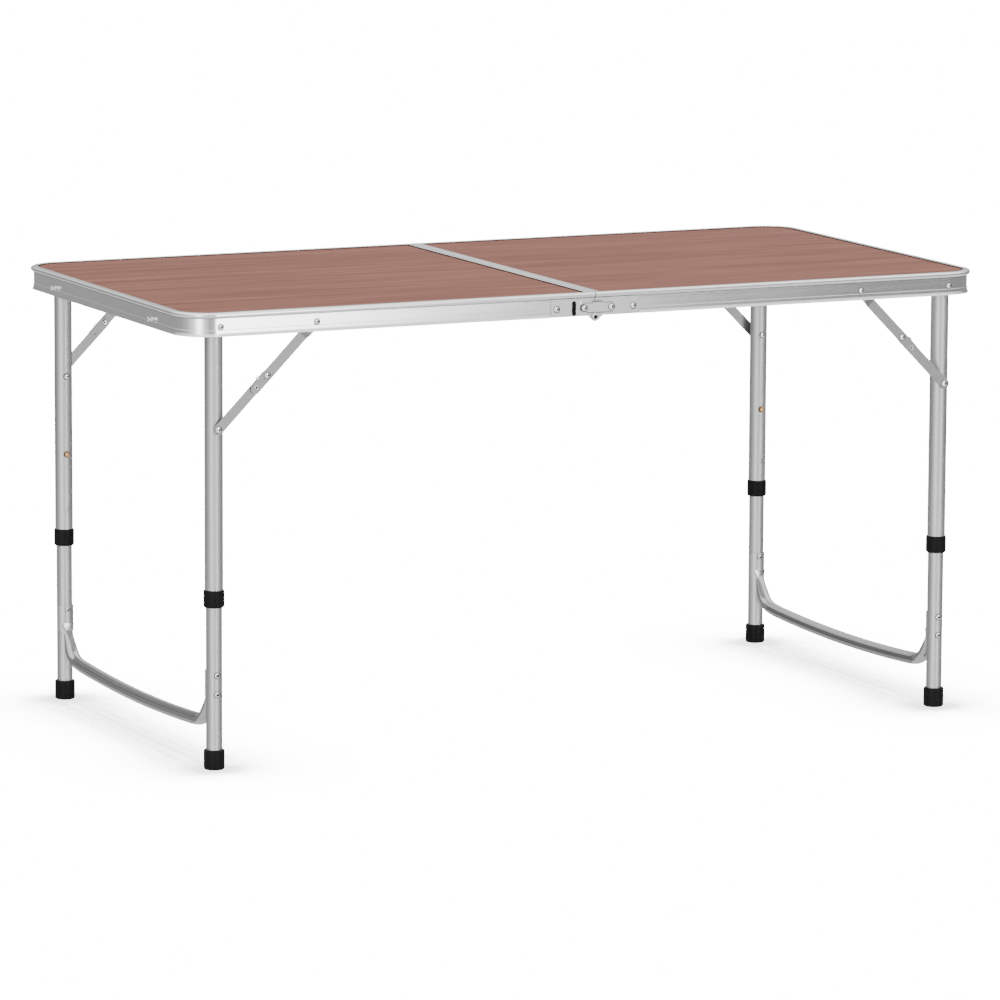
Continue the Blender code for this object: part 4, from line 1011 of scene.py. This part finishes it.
def make_world():
    world = bpy.data.worlds.new("studio")
    bpy.context.scene.world = world
    world.use_nodes = True
    tree = world.node_tree
    tree.nodes.clear()
    place = tree.nodes.new("ShaderNodeTexCoord")
    split = tree.nodes.new("ShaderNodeSeparateXYZ")
    tree.links.new(place.outputs["Generated"], split.inputs["Vector"])
    flip = tree.nodes.new("ShaderNodeMath")
    flip.operation = "MULTIPLY"
    flip.inputs[1].default_value = -1.0
    tree.links.new(split.outputs["Y"], flip.inputs[0])
    turn = tree.nodes.new("ShaderNodeMath")
    turn.operation = "ARCTAN2"
    tree.links.new(split.outputs["X"], turn.inputs[0])
    tree.links.new(flip.outputs["Value"], turn.inputs[1])
    share = tree.nodes.new("ShaderNodeMapRange")
    share.inputs["From Min"].default_value = -math.pi
    share.inputs["From Max"].default_value = math.pi
    tree.links.new(turn.outputs["Value"], share.inputs["Value"])
    stops = [((degrees + 180) / 360, (level, level, level)) for degrees, level in SURROUND]
    around = ramp_of(tree, share.outputs["Result"], stops).outputs["Color"]
    lower = blend_levels(tree, split.outputs["Z"], -0.50, -0.22, 0.14, around)
    whole = blend_levels(tree, split.outputs["Z"], 0.2, 0.7, lower, 0.255)
    mirrored = background(tree, PEAK, whole)
    path = tree.nodes.new("ShaderNodeLightPath")
    shiny = tree.nodes.new("ShaderNodeMixShader")
    tree.links.new(path.outputs["Is Glossy Ray"], shiny.inputs["Fac"])
    tree.links.new(background(tree, AMBIENT), shiny.inputs[1])
    tree.links.new(mirrored, shiny.inputs[2])
    seen = tree.nodes.new("ShaderNodeMixShader")
    tree.links.new(path.outputs["Is Camera Ray"], seen.inputs["Fac"])
    tree.links.new(shiny.outputs["Shader"], seen.inputs[1])
    tree.links.new(background(tree, BACKDROP), seen.inputs[2])
    out = tree.nodes.new("ShaderNodeOutputWorld")
    tree.links.new(seen.outputs["Shader"], out.inputs["Surface"])


def make_camera():
    yaw, pitch, roll = (math.radians(v) for v in (25.329, 9.188, 0.297))
    forward = Vector((math.sin(yaw) * math.cos(pitch), math.cos(yaw) * math.cos(pitch), -math.sin(pitch)))
    level = Vector((math.cos(yaw), -math.sin(yaw), 0))
    upright = level.cross(forward)
    right = level * math.cos(roll) + upright * math.sin(roll)
    up = upright * math.cos(roll) - level * math.sin(roll)
    data = bpy.data.cameras.new("camera")
    data.lens = 232.70
    data.sensor_width = 36.0
    data.clip_end = 500.0
    camera = bpy.data.objects.new("camera", data)
    columns = Matrix((right, up, -forward)).transposed().to_4x4()
    camera.matrix_world = Matrix.Translation((-3.8300, -8.0929, 1.7368)) @ columns
    bpy.context.scene.collection.objects.link(camera)
    bpy.context.scene.camera = camera


for half_name in HALVES:
    make_rim(half_name)
    make_centre_rail(half_name)
    make_panel(half_name)
    make_crossbar(half_name)
    for face_name in FACES:
        make_hinge_plate(half_name, face_name)
for face_name in FACES:
    make_hinge_pin(face_name)
    make_hook(face_name)
    make_catch_stud(face_name)
    make_hasp(face_name)
make_handle()
for corner_name in CORNERS:
    make_leg(corner_name)
    make_upper_brace(corner_name)
    make_lower_brace(corner_name)
make_floor()
make_world()
make_camera()
make_light("key", (-3.0, -3.5, 4.5), (0, 0, 0.3), 3.0, 260)
make_light("fill", (3.0, -2.0, 4.0), (0, 0, 0.3), 3.0, 120)
